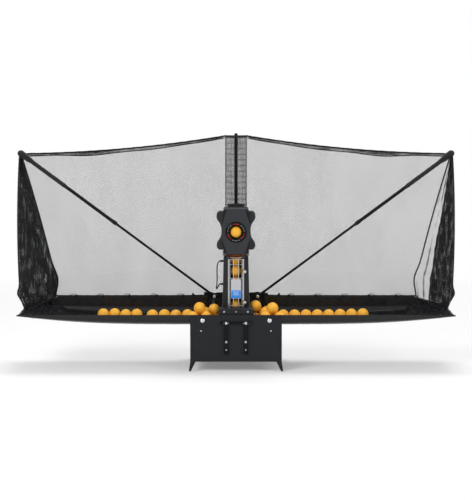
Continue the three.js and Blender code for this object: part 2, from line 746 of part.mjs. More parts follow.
// Pan yoke: a collar on the channel's top, an upright behind the head and two arms to the tilt pivot
function buildYoke() {
  const bottom = towerTop + gap;
  const top = bottom + sheet;
  const collar = cylinderZ(ringOuterRadius, bottom, top, 0, channelY, 24);
  const tongue = box(-ringOuterRadius, ringOuterRadius, channelY, uprightY + sheet, bottom, top);
  const upright = box(-uprightHalfWidth, uprightHalfWidth, uprightY, uprightY + sheet, bottom, yokeTop);
  const arms = sides.map(([, side]) => {
    const outer = side * uprightHalfWidth;
    const inner = outer - side * sheet;
    return box(Math.min(inner, outer), Math.max(inner, outer), tiltY - armReach, uprightY + sheet,
      nozzleZ - armHalfHeight, yokeTop);
  });
  const passage = cylinderZ(ringInnerRadius, bottom - cutOverrun, top + cutOverrun, 0, channelY, 24);
  const pinHole = cylinderX(tiltPinRadius + pinPlay, -uprightHalfWidth - cutOverrun,
    uprightHalfWidth + cutOverrun, tiltY, nozzleZ);
  add('pan_yoke', cut(join(collar, tongue, upright, ...arms), passage, pinHole), steel);

  const funnelFoot = top + gap;
  const funnelLip = funnelFoot + funnelHeight;
  const funnelProfile = [
    [ringInnerRadius, funnelFoot], [ringInnerRadius + funnelWall, funnelFoot],
    [ringInnerRadius + funnelFlare + funnelWall, funnelLip], [ringInnerRadius + funnelFlare, funnelLip],
    [ringInnerRadius, funnelFoot],
  ].map(([radius, z]) => new THREE.Vector2(radius, z));
  add('ball_funnel',
    new THREE.LatheGeometry(funnelProfile, 24).rotateX(quarterTurn).translate(0, channelY, 0), funnelAmber);

  for (const [name, side] of sides) {
    const under = side * (uprightHalfWidth + gap);
    const outside = under + side * tiltHeadThickness;
    const inside = side * (coreHalfWidth - coreWall * 2);
    add(`tilt_screw_${name}`, join(
      cylinderX(tiltHeadRadius, Math.min(under, outside), Math.max(under, outside), tiltY, nozzleZ),
      cylinderX(tiltPinRadius, Math.min(inside, outside), Math.max(inside, outside), tiltY, nozzleZ)), chrome);
  }
}

// Side outline of the head's core: its rear edge arches in at the middle
function coreOutline(inset) {
  const front = coreFront + inset;
  const rear = coreRear - inset;
  const top = coreTop - inset;
  const bottom = coreBottom + inset;
  const shape = new THREE.Shape();
  shape.moveTo(front, nozzleZ + bottom);
  shape.lineTo(rear, nozzleZ + bottom);
  shape.lineTo(rear, nozzleZ - coreWaistHalfHeight);
  shape.quadraticCurveTo(rear - 2 * coreWaistDepth, nozzleZ, rear, nozzleZ + coreWaistHalfHeight);
  shape.lineTo(rear, nozzleZ + top);
  shape.lineTo(front, nozzleZ + top);
  return shape;
}

function buildHead() {
  const core = new THREE.ExtrudeGeometry(coreOutline(0), {
    depth: 2 * coreHalfWidth, bevelEnabled: false, curveSegments: 10,
  });
  const turn = new THREE.Matrix4().makeBasis(
    new THREE.Vector3(0, 1, 0), new THREE.Vector3(0, 0, 1), new THREE.Vector3(1, 0, 0));
  core.applyMatrix4(turn).translate(-coreHalfWidth, 0, 0);
  const hollowHalf = coreHalfWidth - coreWall;
  const hollow = new THREE.ExtrudeGeometry(coreOutline(coreWall), {
    depth: 2 * hollowHalf, bevelEnabled: false, curveSegments: 10,
  }).applyMatrix4(turn).translate(-hollowHalf, 0, 0);
  const wayIn = cylinderZ(ringInnerRadius, nozzleZ + coreBottom - cutOverrun,
    nozzleZ + coreBottom + coreWall + cutOverrun, 0, channelY, 24);
  const wayOut = cylinderY(nozzleTubeRadius + gap, coreFront - cutOverrun,
    coreFront + coreWall + cutOverrun, 0, nozzleZ, 24);
  const pinHole = cylinderX(tiltPinRadius + pinPlay, -coreHalfWidth - cutOverrun,
    coreHalfWidth + cutOverrun, tiltY, nozzleZ);
  const vents = Array.from({ length: ventColumns * ventRows }, (unused, number) => {
    const column = number % ventColumns;
    const row = Math.floor(number / ventColumns);
    return cylinderX(ventRadius, -coreHalfWidth - cutOverrun, coreHalfWidth + cutOverrun,
      ventFirstY - column * ventPitch, nozzleZ - ventPitch * (2 + row) - ventPitch, 6);
  });
  add('head_housing', cut(core, hollow, wayIn, wayOut, pinHole, ...vents), coverPlastic);

  const faceRear = coreFront - gap;
  const faceShape = shapeOf(mirrored([
    [facePlateHalfTop - facePlateBevel, nozzleZ + facePlateTop - facePlateBevel],
    [facePlateHalfWaist - facePlateBevel, nozzleZ + facePlateWaist],
    [facePlateHalfWaist - facePlateBevel, nozzleZ - facePlateWaist],
    [facePlateHalfTop - facePlateBevel, nozzleZ + facePlateBottom + facePlateBevel],
  ]));
  const face = new THREE.ExtrudeGeometry(faceShape, {
    depth: faceRear - facePlateFront - facePlateBevel,
    bevelEnabled: true, bevelSize: facePlateBevel, bevelThickness: facePlateBevel, bevelSegments: 2,
  }).rotateX(quarterTurn).translate(0, faceRear, 0);
  const flatBack = box(-facePlateHalfWaist * 2, facePlateHalfWaist * 2, faceRear,
    faceRear + facePlateBevel * 2, nozzleZ + facePlateBottom * 2, nozzleZ + facePlateTop * 2);
  const ringHole = cylinderY(nozzleRingRadius + gap, facePlateFront - facePlateBevel - cutOverrun,
    faceRear + cutOverrun, 0, nozzleZ, 32);
  add('head_face_plate', cut(face, flatBack, ringHole), headPlastic);

  const ringFront = facePlateFront - nozzleRingProud;
  const ringProfile = [
    [nozzleBoreRadius, faceRear], [nozzleBoreRadius, ringFront + nozzleRingRim],
    [nozzleBoreRadius + nozzleRingRim / 2, ringFront + nozzleRingRim / 4],
    [nozzleRingRadius - nozzleRingRim, ringFront], [nozzleRingRadius, ringFront + nozzleRingRim / 2],
    [nozzleRingRadius, faceRear], [nozzleBoreRadius, faceRear],
  ].map(([radius, y]) => new THREE.Vector2(radius, y));
  add('nozzle_ring', new THREE.LatheGeometry(ringProfile, 32).translate(0, 0, nozzleZ), glossBlack);
  const tubeProfile = [
    [nozzleBoreRadius, nozzleTubeEnd], [nozzleBoreRadius, faceRear + gap],
    [nozzleTubeRadius, faceRear + gap], [nozzleTubeRadius, nozzleTubeEnd], [nozzleBoreRadius, nozzleTubeEnd],
  ].map(([radius, y]) => new THREE.Vector2(radius, y));
  add('nozzle_tube', new THREE.LatheGeometry(tubeProfile, 24).translate(0, 0, nozzleZ), glossBlack);

  for (const [name, side] of sides) {
    const rings = earHeights.map((height, number) => {
      const outer = earOuterXs[number];
      const rear = earRears[number];
      return [
        [coreHalfWidth + gap, earFront], [outer - earChamfer, earFront], [outer, earFront + earChamfer],
        [outer, rear - earChamfer], [outer - earChamfer, rear], [coreHalfWidth + gap, rear],
      ].map(([x, y]) => new THREE.Vector3(side * x, y, nozzleZ + height));
    });
    add(`side_cover_${name}`, loft(rings, topView), coverPlastic);
  }

  const wheelOffset = ballRadius - wheelNip + wheelRadius;
  for (const [name, up] of [['upper', 1], ['lower', -1]]) {
    const z = nozzleZ + up * wheelOffset;
    const tyre = [
      [motorShaftRadius + pinPlay, -wheelHalfWidth], [wheelRadius, -wheelHalfWidth],
      [wheelRadius - wheelGroove, 0], [wheelRadius, wheelHalfWidth],
      [motorShaftRadius + pinPlay, wheelHalfWidth], [motorShaftRadius + pinPlay, -wheelHalfWidth],
    ].map(([radius, x]) => new THREE.Vector2(radius, x));
    add(`throwing_wheel_${name}`,
      new THREE.LatheGeometry(tyre, 24).rotateZ(quarterTurn).translate(0, wheelY, z), wheelRubber);
    const motorStart = wheelHalfWidth + pinPlay * 4;
    add(`wheel_motor_${name}`, join(
      cylinderX(motorRadius, motorStart, hollowHalf - gap, wheelY, z),
      cylinderX(motorShaftRadius, -wheelHalfWidth, motorStart + sheet, wheelY, z, 10)), steel);
  }
}

// Net rods: a lower rod on a fork, and a tube that slides over it
const rodRun = new THREE.Vector2(rodTipX - rodX, rodTipZ - rodPivotZ);
const rodLength = rodRun.length();
const rodTilt = Math.atan2(rodRun.y, rodRun.x);

const lathed = (profile, segments) =>
  new THREE.LatheGeometry(profile.map(([radius, y]) => new THREE.Vector2(radius, y)), segments)
    .rotateZ(-quarterTurn);

function buildRods() {
  const tubeStart = rodLength - upperTubeLength;
  const tubeEnd = rodLength;
  const tube = lathed([
    [upperTubeBore, tubeStart], [rodCollarRadius, tubeStart], [rodCollarRadius, tubeStart + rodCollarLength],
    [upperTubeRadius, tubeStart + rodCollarLength + sheet], [upperTubeRadius, tubeEnd - rodCapRadius * 2],
    [rodCapRadius, tubeEnd - rodCapRadius], [rodCapRadius * 0.8, tubeEnd], [0, tubeEnd],
    [0, tubeEnd - rodCapWall], [upperTubeBore, tubeEnd - rodCapWall], [upperTubeBore, tubeStart],
  ], 10);
  const shank = lathed([
    [0, 0], [lowerRodRadius, 0], [lowerRodRadius, lowerRodLength], [0, lowerRodLength],
  ], 10);
  const eye = cylinderY(rodEyeRadius, -rodEyeHalfWidth, rodEyeHalfWidth, 0, 0);
  const eyeHole = cylinderY(rodPinRadius + pinPlay, -rodEyeHalfWidth - cutOverrun,
    rodEyeHalfWidth + cutOverrun, 0, 0);
  const lower = cut(join(shank, eye), eyeHole);

  for (const [name, side] of sides) {
    const pivot = new THREE.Group();
    pivot.position.set(side * rodX, rodY, rodPivotZ);
    pivot.rotation.set(0, side > 0 ? -rodTilt : rodTilt - halfTurn, 0);
    robot.add(pivot);
    add(`net_rod_lower_${name}`, lower, blackPlastic, pivot);
    add(`net_rod_upper_${name}`, tube, blackPlastic, pivot);

    const x = side * rodX;
    const foot = floorTop + gap;
    const shoulder = rodPivotZ - rodEyeRadius - socketRadius / 2;
    const post = cylinderZ(socketRadius, foot, shoulder, x, rodY, 12);
    const ears = [-1, 1].map((towards) => {
      const near = rodY + towards * (rodEyeHalfWidth + gap);
      const far = near + towards * forkEarThickness;
      const y0 = Math.min(near, far);
      const y1 = Math.max(near, far);
      return join(
        box(x - rodEyeRadius, x + rodEyeRadius, y0, y1, shoulder - sheet, rodPivotZ),
        cylinderY(rodEyeRadius, y0, y1, x, rodPivotZ));
    });
    const pin = cylinderY(rodPinRadius, rodY - rodEyeHalfWidth - forkEarThickness,
      rodY + rodEyeHalfWidth + forkEarThickness, x, rodPivotZ, 10);
    add(`rod_socket_${name}`, join(post, ...ears, pin), blackPlastic);
  }

  const foot = floorTop + gap;
  add('post_socket', cut(
    cylinderZ(postSocketRadius, foot, postSocketTop, 0, postY),
    cylinderZ(postRadius + gap, foot + sheet, postSocketTop + cutOverrun, 0, postY)), blackPlastic);
  add('net_post', cylinderZ(postRadius, foot + sheet + gap, postTop, 0, postY, 12), blackPlastic);
}

// A net of bars along both directions of a surface, u along its length and v up
function netPanel(columns, rows, place, width, height, through) {
  const edges = (count, size) => {
    const barShare = netBar / size;
    return Array.from({ length: count + 1 }, (unused, number) => {
      const start = (1 - barShare) * number / count;
      return [start, start + barShare];
    }).flat();
  };
  const us = edges(columns, width);
  const vs = edges(rows, height);
  const points = [];
  for (const u of us) {
    for (const v of vs) {
      const middle = place(u, v);
      points.push(middle.clone().add(through), middle.clone().sub(through));
    }
  }
  const at = (i, j, face) => (i * vs.length + j) * 2 + face;
  const solid = (i, j) =>
    i >= 0 && j >= 0 && i + 1 < us.length && j + 1 < vs.length && (i % 2 === 0 || j % 2 === 0);
  const triangles = [];
  const quad = (a, b, c, d) => triangles.push([a, b, c], [a, c, d]);
  for (let i = 0; i + 1 < us.length; i += 1) {
    for (let j = 0; j + 1 < vs.length; j += 1) {
      if (!solid(i, j)) continue;
      quad(at(i, j, 0), at(i + 1, j, 0), at(i + 1, j + 1, 0), at(i, j + 1, 0));
      quad(at(i, j + 1, 1), at(i + 1, j + 1, 1), at(i + 1, j, 1), at(i, j, 1));
      if (!solid(i, j - 1)) quad(at(i, j, 1), at(i + 1, j, 1), at(i + 1, j, 0), at(i, j, 0));
      if (!solid(i, j + 1)) quad(at(i + 1, j + 1, 1), at(i, j + 1, 1), at(i, j + 1, 0), at(i + 1, j + 1, 0));
      if (!solid(i - 1, j)) quad(at(i, j + 1, 1), at(i, j, 1), at(i, j, 0), at(i, j + 1, 0));
      if (!solid(i + 1, j)) quad(at(i + 1, j, 1), at(i + 1, j + 1, 1), at(i + 1, j + 1, 0), at(i + 1, j, 0));
    }
  }
  return closedBody(points, triangles);
}

const mix = (a, b, share) => a + (b - a) * share;
const netBottomPower = 12;

function buildNet() {
  const netInnerX = sleeveHalfWidth + gap;
  const netInnerY = sleeveY + sleeveCurve;
  const rimY = trayHalfDepth - sheet / 2;
  const bottomZ = trayRearRim + gap;
  const cornerY = rodY + rodCapRadius + gap + netThickness / 2;
  const width = netTopOuterX - netInnerX;
  const height = netTopOuter - bottomZ;
  const outerEdge = (v) => new THREE.Vector3(
    mix(trayRearRimEnd, netTopOuterX, v) - netCornerBow * 4 * v * (1 - v),
    mix(rimY, cornerY, v), mix(bottomZ, netTopOuter, v));
  const innerEdge = (v) => new THREE.Vector3(netInnerX, netInnerY, mix(sleeveBottom, netTopInner, v));
  const back = (u, v) => {
    const inner = innerEdge(v);
    const outer = outerEdge(v);
    const point = inner.clone().lerp(outer, u);
    point.y = mix(mix(netInnerY, rimY, 1 - (1 - u) ** netBottomPower), mix(netInnerY, cornerY, u), v);
    point.z = mix(mix(sleeveBottom, bottomZ, 1 - (1 - u) ** netBottomPower),
      mix(netTopInner, netTopOuter, u), v) - netSag * v * 4 * u * (1 - u);
    return point;
  };
  const sideTopShare = 1 - sidePanelTopDrop / height;
  const sideStart = (v) =>
    outerEdge(v * sideTopShare).add(new THREE.Vector3(0, -netThickness / 2 - gap, 0));
  const sideEnd = (v) => new THREE.Vector3(
    mix(sidePanelFrontX, netTopOuterX + netBar, v),
    mix(sidePanelFrontY, cornerY - sidePanelTopDepth, v),
    mix(sidePanelFrontZ, netTopOuter - sidePanelTopDrop, v));
  const side = (u, v) => sideStart(v).lerp(sideEnd(v), u);
  const sideWidth = sideStart(0).distanceTo(sideEnd(0));
  const backFace = new THREE.Vector3(0, netThickness / 2, 0);
  const sideFace = new THREE.Vector3(netThickness / 2, 0, 0);

  for (const [name, sign] of sides) {
    const flip = (place) => (u, v) => {
      const point = place(u, v);
      point.x *= sign;
      return point;
    };
    add(`net_back_${name}`, netPanel(backColumns, backRows, flip(back), width, height, backFace), netNylon);
    add(`net_side_${name}`, netPanel(sideColumns, sideRows, flip(side), sideWidth, height, sideFace), netNylon);
  }

  const foldSteps = sleeveFolds * 4;
  const sleeveOutline = (towards) => Array.from({ length: foldSteps + 1 }, (unused, step) => {
    const across = 2 * step / foldSteps - 1;
    const fold = sleeveFoldDepth * Math.sin(step * quarterTurn);
    return [across * sleeveHalfWidth,
      sleeveY + sleeveCurve * across ** 2 + fold + towards * sleeveThickness / 2];
  });
  const outline = [...sleeveOutline(-1), ...sleeveOutline(1).reverse()];
  add('net_sleeve', plateXY(shapeOf(outline), sleeveBottom, netTopInner), netNylon);
}

// Cable: hangs in one loop from the grommet on the channel to the grommet on the casing
function buildCable() {
  const out = towerHalfWidthTop + grommetLength * 2 + gap;
  const points = [
    [-out, cableLeavesY, cableLeavesZ],
    [-out - cableStraight, cableLeavesY, cableLeavesZ],
    ...cableHang,
    [-out - cableStraight, cableReturnsY, cableReturnsZ],
    [-out, cableReturnsY, cableReturnsZ],
  ].map(([x, y, z]) => new THREE.Vector3(x, y, z));
  const route = new THREE.CatmullRomCurve3(points, false, 'centripetal');
  const section = new THREE.Shape(Array.from({ length: cableSides }, (unused, corner) => {
    const angle = corner * 2 * halfTurn / cableSides;
    return new THREE.Vector2(Math.cos(angle) * cableRadius, Math.sin(angle) * cableRadius);
  }));
  add('signal_cable', new THREE.ExtrudeGeometry(section, { steps: cableSteps, extrudePath: route }), cableBlack);
}

buildPlates();
buildSideWalls();
buildHopper();
buildTrays();
buildCaughtBalls();
buildHooks();
buildTower();
buildCage();
buildYoke();
buildHead();
buildRods();
buildNet();
buildCable();

export default robot;
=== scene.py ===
"""Dresses a table tennis robot: ball trays, feed tower, throwing head, catch net on rods and a signal cable.

Lengths are millimetres, measured as on the robot: x to the right seen from the table, y from the table to the
net, z up from the floor. Each point is moved by FRAME_SHIFT and scaled to metres when its mesh is made.
"""

from __future__ import annotations

import json
import logging
from dataclasses import dataclass, field
from enum import Enum
from math import atan2, cos, exp, hypot, pi, radians, sin
from typing import Any, Callable, Dict, List, Optional, Sequence, Tuple

import bmesh
import bpy
import numpy as np
from mathutils import Matrix, Vector

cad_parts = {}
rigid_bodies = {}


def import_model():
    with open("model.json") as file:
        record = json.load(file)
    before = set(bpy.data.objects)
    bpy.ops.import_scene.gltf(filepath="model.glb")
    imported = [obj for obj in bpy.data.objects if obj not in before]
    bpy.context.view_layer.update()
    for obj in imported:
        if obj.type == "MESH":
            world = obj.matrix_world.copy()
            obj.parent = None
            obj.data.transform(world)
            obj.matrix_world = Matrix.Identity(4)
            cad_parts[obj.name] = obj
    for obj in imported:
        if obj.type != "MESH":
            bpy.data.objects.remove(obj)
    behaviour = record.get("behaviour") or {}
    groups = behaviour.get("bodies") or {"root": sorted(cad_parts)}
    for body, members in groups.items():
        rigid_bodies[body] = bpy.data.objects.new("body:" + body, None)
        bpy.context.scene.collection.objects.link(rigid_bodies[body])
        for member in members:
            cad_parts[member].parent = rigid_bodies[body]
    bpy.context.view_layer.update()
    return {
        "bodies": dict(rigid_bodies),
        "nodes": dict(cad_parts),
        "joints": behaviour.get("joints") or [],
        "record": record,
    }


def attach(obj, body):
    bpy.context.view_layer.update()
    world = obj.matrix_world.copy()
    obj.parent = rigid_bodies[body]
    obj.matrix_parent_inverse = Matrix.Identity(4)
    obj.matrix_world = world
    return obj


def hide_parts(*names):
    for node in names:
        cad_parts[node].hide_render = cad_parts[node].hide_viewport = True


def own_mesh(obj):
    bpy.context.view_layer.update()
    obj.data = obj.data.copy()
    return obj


LOG = logging.getLogger("table_tennis_robot")
FRAME_SHIFT = 4.6
MM = 0.001
WELD = 2e-6
SHARP = 34.0
GAP = 0.3
BALL_RADIUS = 20.0
NOZZLE_Z = 472.0
CHANNEL_Y = -30.0

Pair = Tuple[float, float]
Point = Tuple[float, float, float]
Outline = Sequence[Pair]
Ring = List[Point]
Piece = bpy.types.Object


class Axis(Enum):
    """The axis that a shape is drawn along."""

    X = 0
    Y = 1
    Z = 2

    def place(self, a: float, b: float, along: float) -> Point:
        """The point at a and b across the axis, at a distance along it."""
        values = [a, b]
        values.insert(self.value, along)
        return (values[0], values[1], values[2])


class Side(Enum):
    """The two sides of the robot, seen from the table."""

    LEFT = -1
    RIGHT = 1

    @property
    def word(self) -> str:
        """The side's word in node and body names."""
        return self.name.lower()


def srgb(code: str) -> Point:
    """The linear red, green and blue of six hexadecimal digits."""
    parts = [int(code[i:i + 2], 16) / 255 for i in (0, 2, 4)]
    red, green, blue = (c / 12.92 if c <= 0.04045 else ((c + 0.055) / 1.055) ** 2.4 for c in parts)
    return (red, green, blue)


def in_frame(point: Sequence[float]) -> Vector:
    """A point in millimetres as a place in the frame, in metres."""
    return Vector((point[0] * MM, (point[1] + FRAME_SHIFT) * MM, point[2] * MM))


def mix(a: float, b: float, share: float) -> float:
    """A value between two, by a share."""
    return a + (b - a) * share


def bell(value: float, middle: float, width: float) -> float:
    """A smooth bump of height 1 round a middle."""
    return exp(-((value - middle) / width) ** 2)


def fan(start: float, step: float, count: int) -> List[Pair]:
    """Cosine and sine of an angle in degrees that grows by even steps."""
    turns = [radians(start + step * k) for k in range(count)]
    return [(cos(t), sin(t)) for t in turns]


def circle(count: int) -> List[Pair]:
    """Cosine and sine at even steps all round."""
    return fan(0, 360 / count, count)


def both(points: Outline) -> List[Pair]:
    """An outline's right half and its mirror image, as one closed outline."""
    return [*points, *[(-a, b) for a, b in reversed(points)]]


# Shapes


@dataclass
class Shell:
    """Points in millimetres and the faces between them, each with the number of its finish."""

    points: List[Point] = field(default_factory=list)
    faces: List[Tuple[int, ...]] = field(default_factory=list)
    finishes: List[int] = field(default_factory=list)

    def join(self, *others: Shell) -> Shell:
        """Adds other shells to this one.

        Args:
            others: the shells.

        Returns:
            This shell.
        """
        for other in others:
            start = len(self.points)
            self.points += other.points
            self.faces += [tuple(i + start for i in face) for face in other.faces]
            self.finishes += other.finishes
        return self

    def turned(self, matrix: Matrix) -> Shell:
        """A copy turned and moved by a matrix."""
        return Shell([tuple(matrix @ Vector(p)) for p in self.points], list(self.faces), list(self.finishes))

    def on(self, side: Optional[Side]) -> Shell:
        """The shell as drawn on the right side, or its mirror image for the left.

        Args:
            side: the side, or None for a piece in the middle.

        Returns:
            The shell for that side.
        """
        if side is not Side.LEFT:
            return self
        points = [(-x, y, z) for x, y, z in self.points]
        return Shell(points, [face[::-1] for face in self.faces], list(self.finishes))

    def twice(self) -> Shell:
        """The shell on both sides."""
        return self.on(Side.LEFT).join(self)


def skin(rings: Sequence[Sequence[Sequence[float]]], finish: int = 0, capped: bool = True,
         closed: bool = False) -> Shell:
    """A skin through rings of the same number of points.

    Args:
        rings: one after the other.
        finish: number of its finish.
        capped: whether the first and last ring are filled.
        closed: whether the last ring joins up with the first.

    Returns:
        The shell.
    """
    count, last = len(rings[0]), len(rings) - 1
    faces: List[Tuple[int, ...]] = []
    for r in range(last + closed):
        s = (r + 1) % (last + 1)
        for i in range(count):
            j = (i + 1) % count
            faces.append((r * count + i, r * count + j, s * count + j, s * count + i))
    if capped:
        faces += [tuple(range(count - 1, -1, -1)), tuple(range(last * count, (last + 1) * count))]
    return Shell([tuple(p) for ring in rings for p in ring], faces, [finish] * len(faces))


def prism(outline: Outline, low: float, high: float, axis: Axis, finish: int = 0) -> Shell:
    """An outline drawn along an axis.

    Args:
        outline: corner points across the axis: (y, z), (x, z) or (x, y).
        low: where it begins on the axis.
        high: where it ends.
        axis: the axis it is drawn along.
        finish: number of its finish.

    Returns:
        A closed shell.
    """
    count = len(outline)
    faces: List[Tuple[int, ...]] = [tuple(range(count)), tuple(range(2 * count - 1, count - 1, -1))]
    faces += [(i, (i + 1) % count, (i + 1) % count + count, i + count) for i in range(count)]
    return Shell([axis.place(a, b, along) for along in (low, high) for a, b in outline], faces,
                 [finish] * len(faces))


def box(x: Pair, y: Pair, z: Pair) -> Shell:
    """A block between three pairs of coordinates."""
    return prism([(x[0], y[0]), (x[1], y[0]), (x[1], y[1]), (x[0], y[1])], z[0], z[1], Axis.Z)


def rounded(a: Pair, b: Pair, radius: float, steps: int = 6) -> List[Pair]:
    """A rectangle with round corners as an outline.

    Args:
        a: from and to on the first coordinate.
        b: from and to on the second.
        radius: of the corners.
        steps: how many a corner has.

    Returns:
        The outline.
    """
    corners = ((a[1] - radius, b[0] + radius, -90), (a[1] - radius, b[1] - radius, 0),
               (a[0] + radius, b[1] - radius, 90), (a[0] + radius, b[0] + radius, 180))
    return [(x + radius * c, y + radius * s) for x, y, start in corners
            for c, s in fan(start, 90 / steps, steps + 1)]


def rings_of(profile: Outline, axis: Axis, sides: int, centre: Sequence[float] = (0, 0, 0),
             swell: Optional[Callable[[float, float, float], float]] = None) -> List[Ring]:
    """The rings of a profile that is turned about an axis.

    Args:
        profile: (radius, distance along the axis) of each ring.
        axis: the axis of the turn.
        sides: number of points in a ring.
        centre: where the axis passes, and where distances start.
        swell: gives the radius from the ring's radius, its distance and the angle.

    Returns:
        The rings.
    """
    rings = []
    for radius, along in profile:
        ring = []
        for k in range(sides):
            angle = 2 * pi * k / sides
            r = swell(radius, along, angle) if swell else radius
            x, y, z = axis.place(r * cos(angle), r * sin(angle), along)
            ring.append((x + centre[0], y + centre[1], z + centre[2]))
        rings.append(ring)
    return rings


def lathe(profile: Outline, centre: Sequence[float], axis: Axis, sides: int = 32, finish: int = 0) -> Shell:
    """A turned profile, open where its ends aren't on the axis."""
    return skin(rings_of(profile, axis, sides, centre), finish, capped=False)


def band(inner: float, outer: float, low: float, high: float, centre: Sequence[float], axis: Axis,
         sides: int = 24, finish: int = 0) -> Shell:
    """A ring of square section."""
    profile = [(inner, low), (outer, low), (outer, high), (inner, high), (inner, low)]
    return lathe(profile, centre, axis, sides, finish)


def rod(radius: float, low: float, high: float, centre: Sequence[float], axis: Axis, sides: int = 24,
        edge: float = 0.4, finish: int = 0) -> Shell:
    """A round bar with broken edges.

    Args:
        radius: of the bar.
        low: where it begins on the axis.
        high: where it ends.
        centre: where the axis passes.
        axis: the bar's axis.
        sides: number of facets round it.
        edge: width of the broken edges.
        finish: number of its finish.

    Returns:
        A closed shell.
    """
    e = min(edge, radius / 2, (high - low) / 4)
    half = [(0, low), (radius - e, low), (radius, low + e)]
    return lathe([*half, *[(r, low + high - at) for r, at in half[::-1]]], centre, axis, sides, finish)


def tube(path: Sequence[Sequence[float]], radius: float, sides: int = 8, finish: int = 0,
         closed: bool = False) -> Shell:
    """A round tube along a path.

    Args:
        path: points that the tube follows.
        radius: of the tube.
        sides: number of facets round it.
        finish: number of its finish.
        closed: whether the path joins up with its own start.

    Returns:
        A closed shell.
    """
    points = [Vector(p) for p in path]
    last = len(points) - 1
    ahead = [*points[1:], points[0] if closed else points[last]]
    behind = [points[last] if closed else points[0], *points[:last]]
    heads = [(after - before).normalized() for before, after in zip(behind, ahead)]
    across = heads[0].orthogonal().normalized()
    rings = []
    for point, head in zip(points, heads):
        across = (across - head * across.dot(head)).normalized()
        up = head.cross(across)
        rings.append([point + across * (radius * c) + up * (radius * s) for c, s in circle(sides)])
    return skin(rings, finish, capped=not closed, closed=closed)


def screw(centre: Sequence[float], axis: Axis, towards: float, radius: float = 3.2, height: float = 1.6,
          finish: int = 0, hollow: int = 1) -> Shell:
    """A screw head with a six-sided socket.

    Args:
        centre: middle of the face that it sits on.
        axis: the screw's axis.
        towards: 1 or -1, the way the head looks along the axis.
        radius: of the head.
        height: of the head.
        finish: number of the metal's finish.
        hollow: number of the socket's finish, whose near-black paints the shade inside the socket.

    Returns:
        The head and its socket.
    """
    h = height * towards
    head = [(0, 0), (radius, 0), (radius, h * 0.6), (radius * 0.86, h * 0.92), (radius * 0.7, h),
            (radius * 0.46, h), (radius * 0.42, h * 0.92)]
    socket = [(radius * 0.42, h * 0.92), (radius * 0.4, h * 0.35), (0, h * 0.3)]
    return lathe(head, centre, axis, 24, finish).join(lathe(socket, centre, axis, 6, hollow))


def ball(centre: Sequence[float], turn: float, radius: float = BALL_RADIUS) -> Shell:
    """A ball in finish 0 with the faint seam between its halves in finish 1.

    Args:
        centre: of the ball.
        turn: direction of the seam about the vertical, in degrees.
        radius: of the ball.

    Returns:
        The ball.
    """
    t = radians(turn)
    across = Vector((cos(t), sin(t), 0))
    up = Vector((0.35 * sin(t), -0.35 * cos(t), 1)).normalized()
    r = radius - 0.1
    seam = [Vector(centre) + across * (r * c) + up * (r * s) for c, s in circle(64)]
    arc = [(radius * s, radius * c) for c, s in fan(0, 10, 19)]
    return lathe(arc, centre, Axis.Z, 36).join(tube(seam, 0.16, 6, 1, closed=True))


def barrel(share: float, bottom: float, rim: float = 190.0, power: float = 3.2) -> float:
    """Height of a tray's round underside at a share of its half depth."""
    return rim - (rim - bottom) * (1 - min(1.0, abs(share)) ** power) ** (1 / power)


# Finishes


class Nodes:
    """A node tree, with short ways to add and join its nodes."""

    def __init__(self, tree: bpy.types.NodeTree) -> None:
        """Keeps the tree."""
        self.tree = tree

    def fill(self, node: bpy.types.Node, inputs: Dict[Any, Any]) -> None:
        """Sets a node's inputs.

        Args:
            node: the node.
            inputs: by name or number, a value or the output that is joined to it.
        """
        for key, value in inputs.items():
            if isinstance(value, bpy.types.NodeSocket):
                self.tree.links.new(value, node.inputs[key])
            else:
                node.inputs[key].default_value = value

    def node(self, kind: str, inputs: Dict[Any, Any], output: Any = 0, **values: Any) -> Any:
        """Adds a node.

        Args:
            kind: its type, without ShaderNode.
            inputs: its inputs, as fill() takes them.
            output: name or number of the output that is wanted.
            values: its own properties.

        Returns:
            The output.
        """
        made = self.tree.nodes.new("ShaderNode" + kind)
        for key, value in values.items():
            setattr(made, key, value)
        self.fill(made, inputs)
        return made.outputs[output]

    def math(self, operation: str, first: Any, second: Any = 0.0) -> Any:
        """One arithmetic step on outputs or numbers."""
        return self.node("Math", {0: first, 1: second}, operation=operation)

    def spread(self, source: Any, low: float, high: float, start: float = 0.3, end: float = 0.7) -> Any:
        """Maps a value from one range to another."""
        return self.node("MapRange", {"Value": source, "From Min": start, "From Max": end, "To Min": low,
                                      "To Max": high})

    def seen(self, *kinds: str) -> Any:
        """Tells rays apart by what they come from or through.

        Args:
            kinds: Camera, Glossy or Transmission.

        Returns:
            1 for rays of any of these kinds, else 0.
        """
        found = [self.node("LightPath", {}, f"Is {kind} Ray") for kind in kinds]
        while len(found) > 1:
            found.append(self.math("MAXIMUM", found.pop(0), found.pop(0)))
        return found[0]


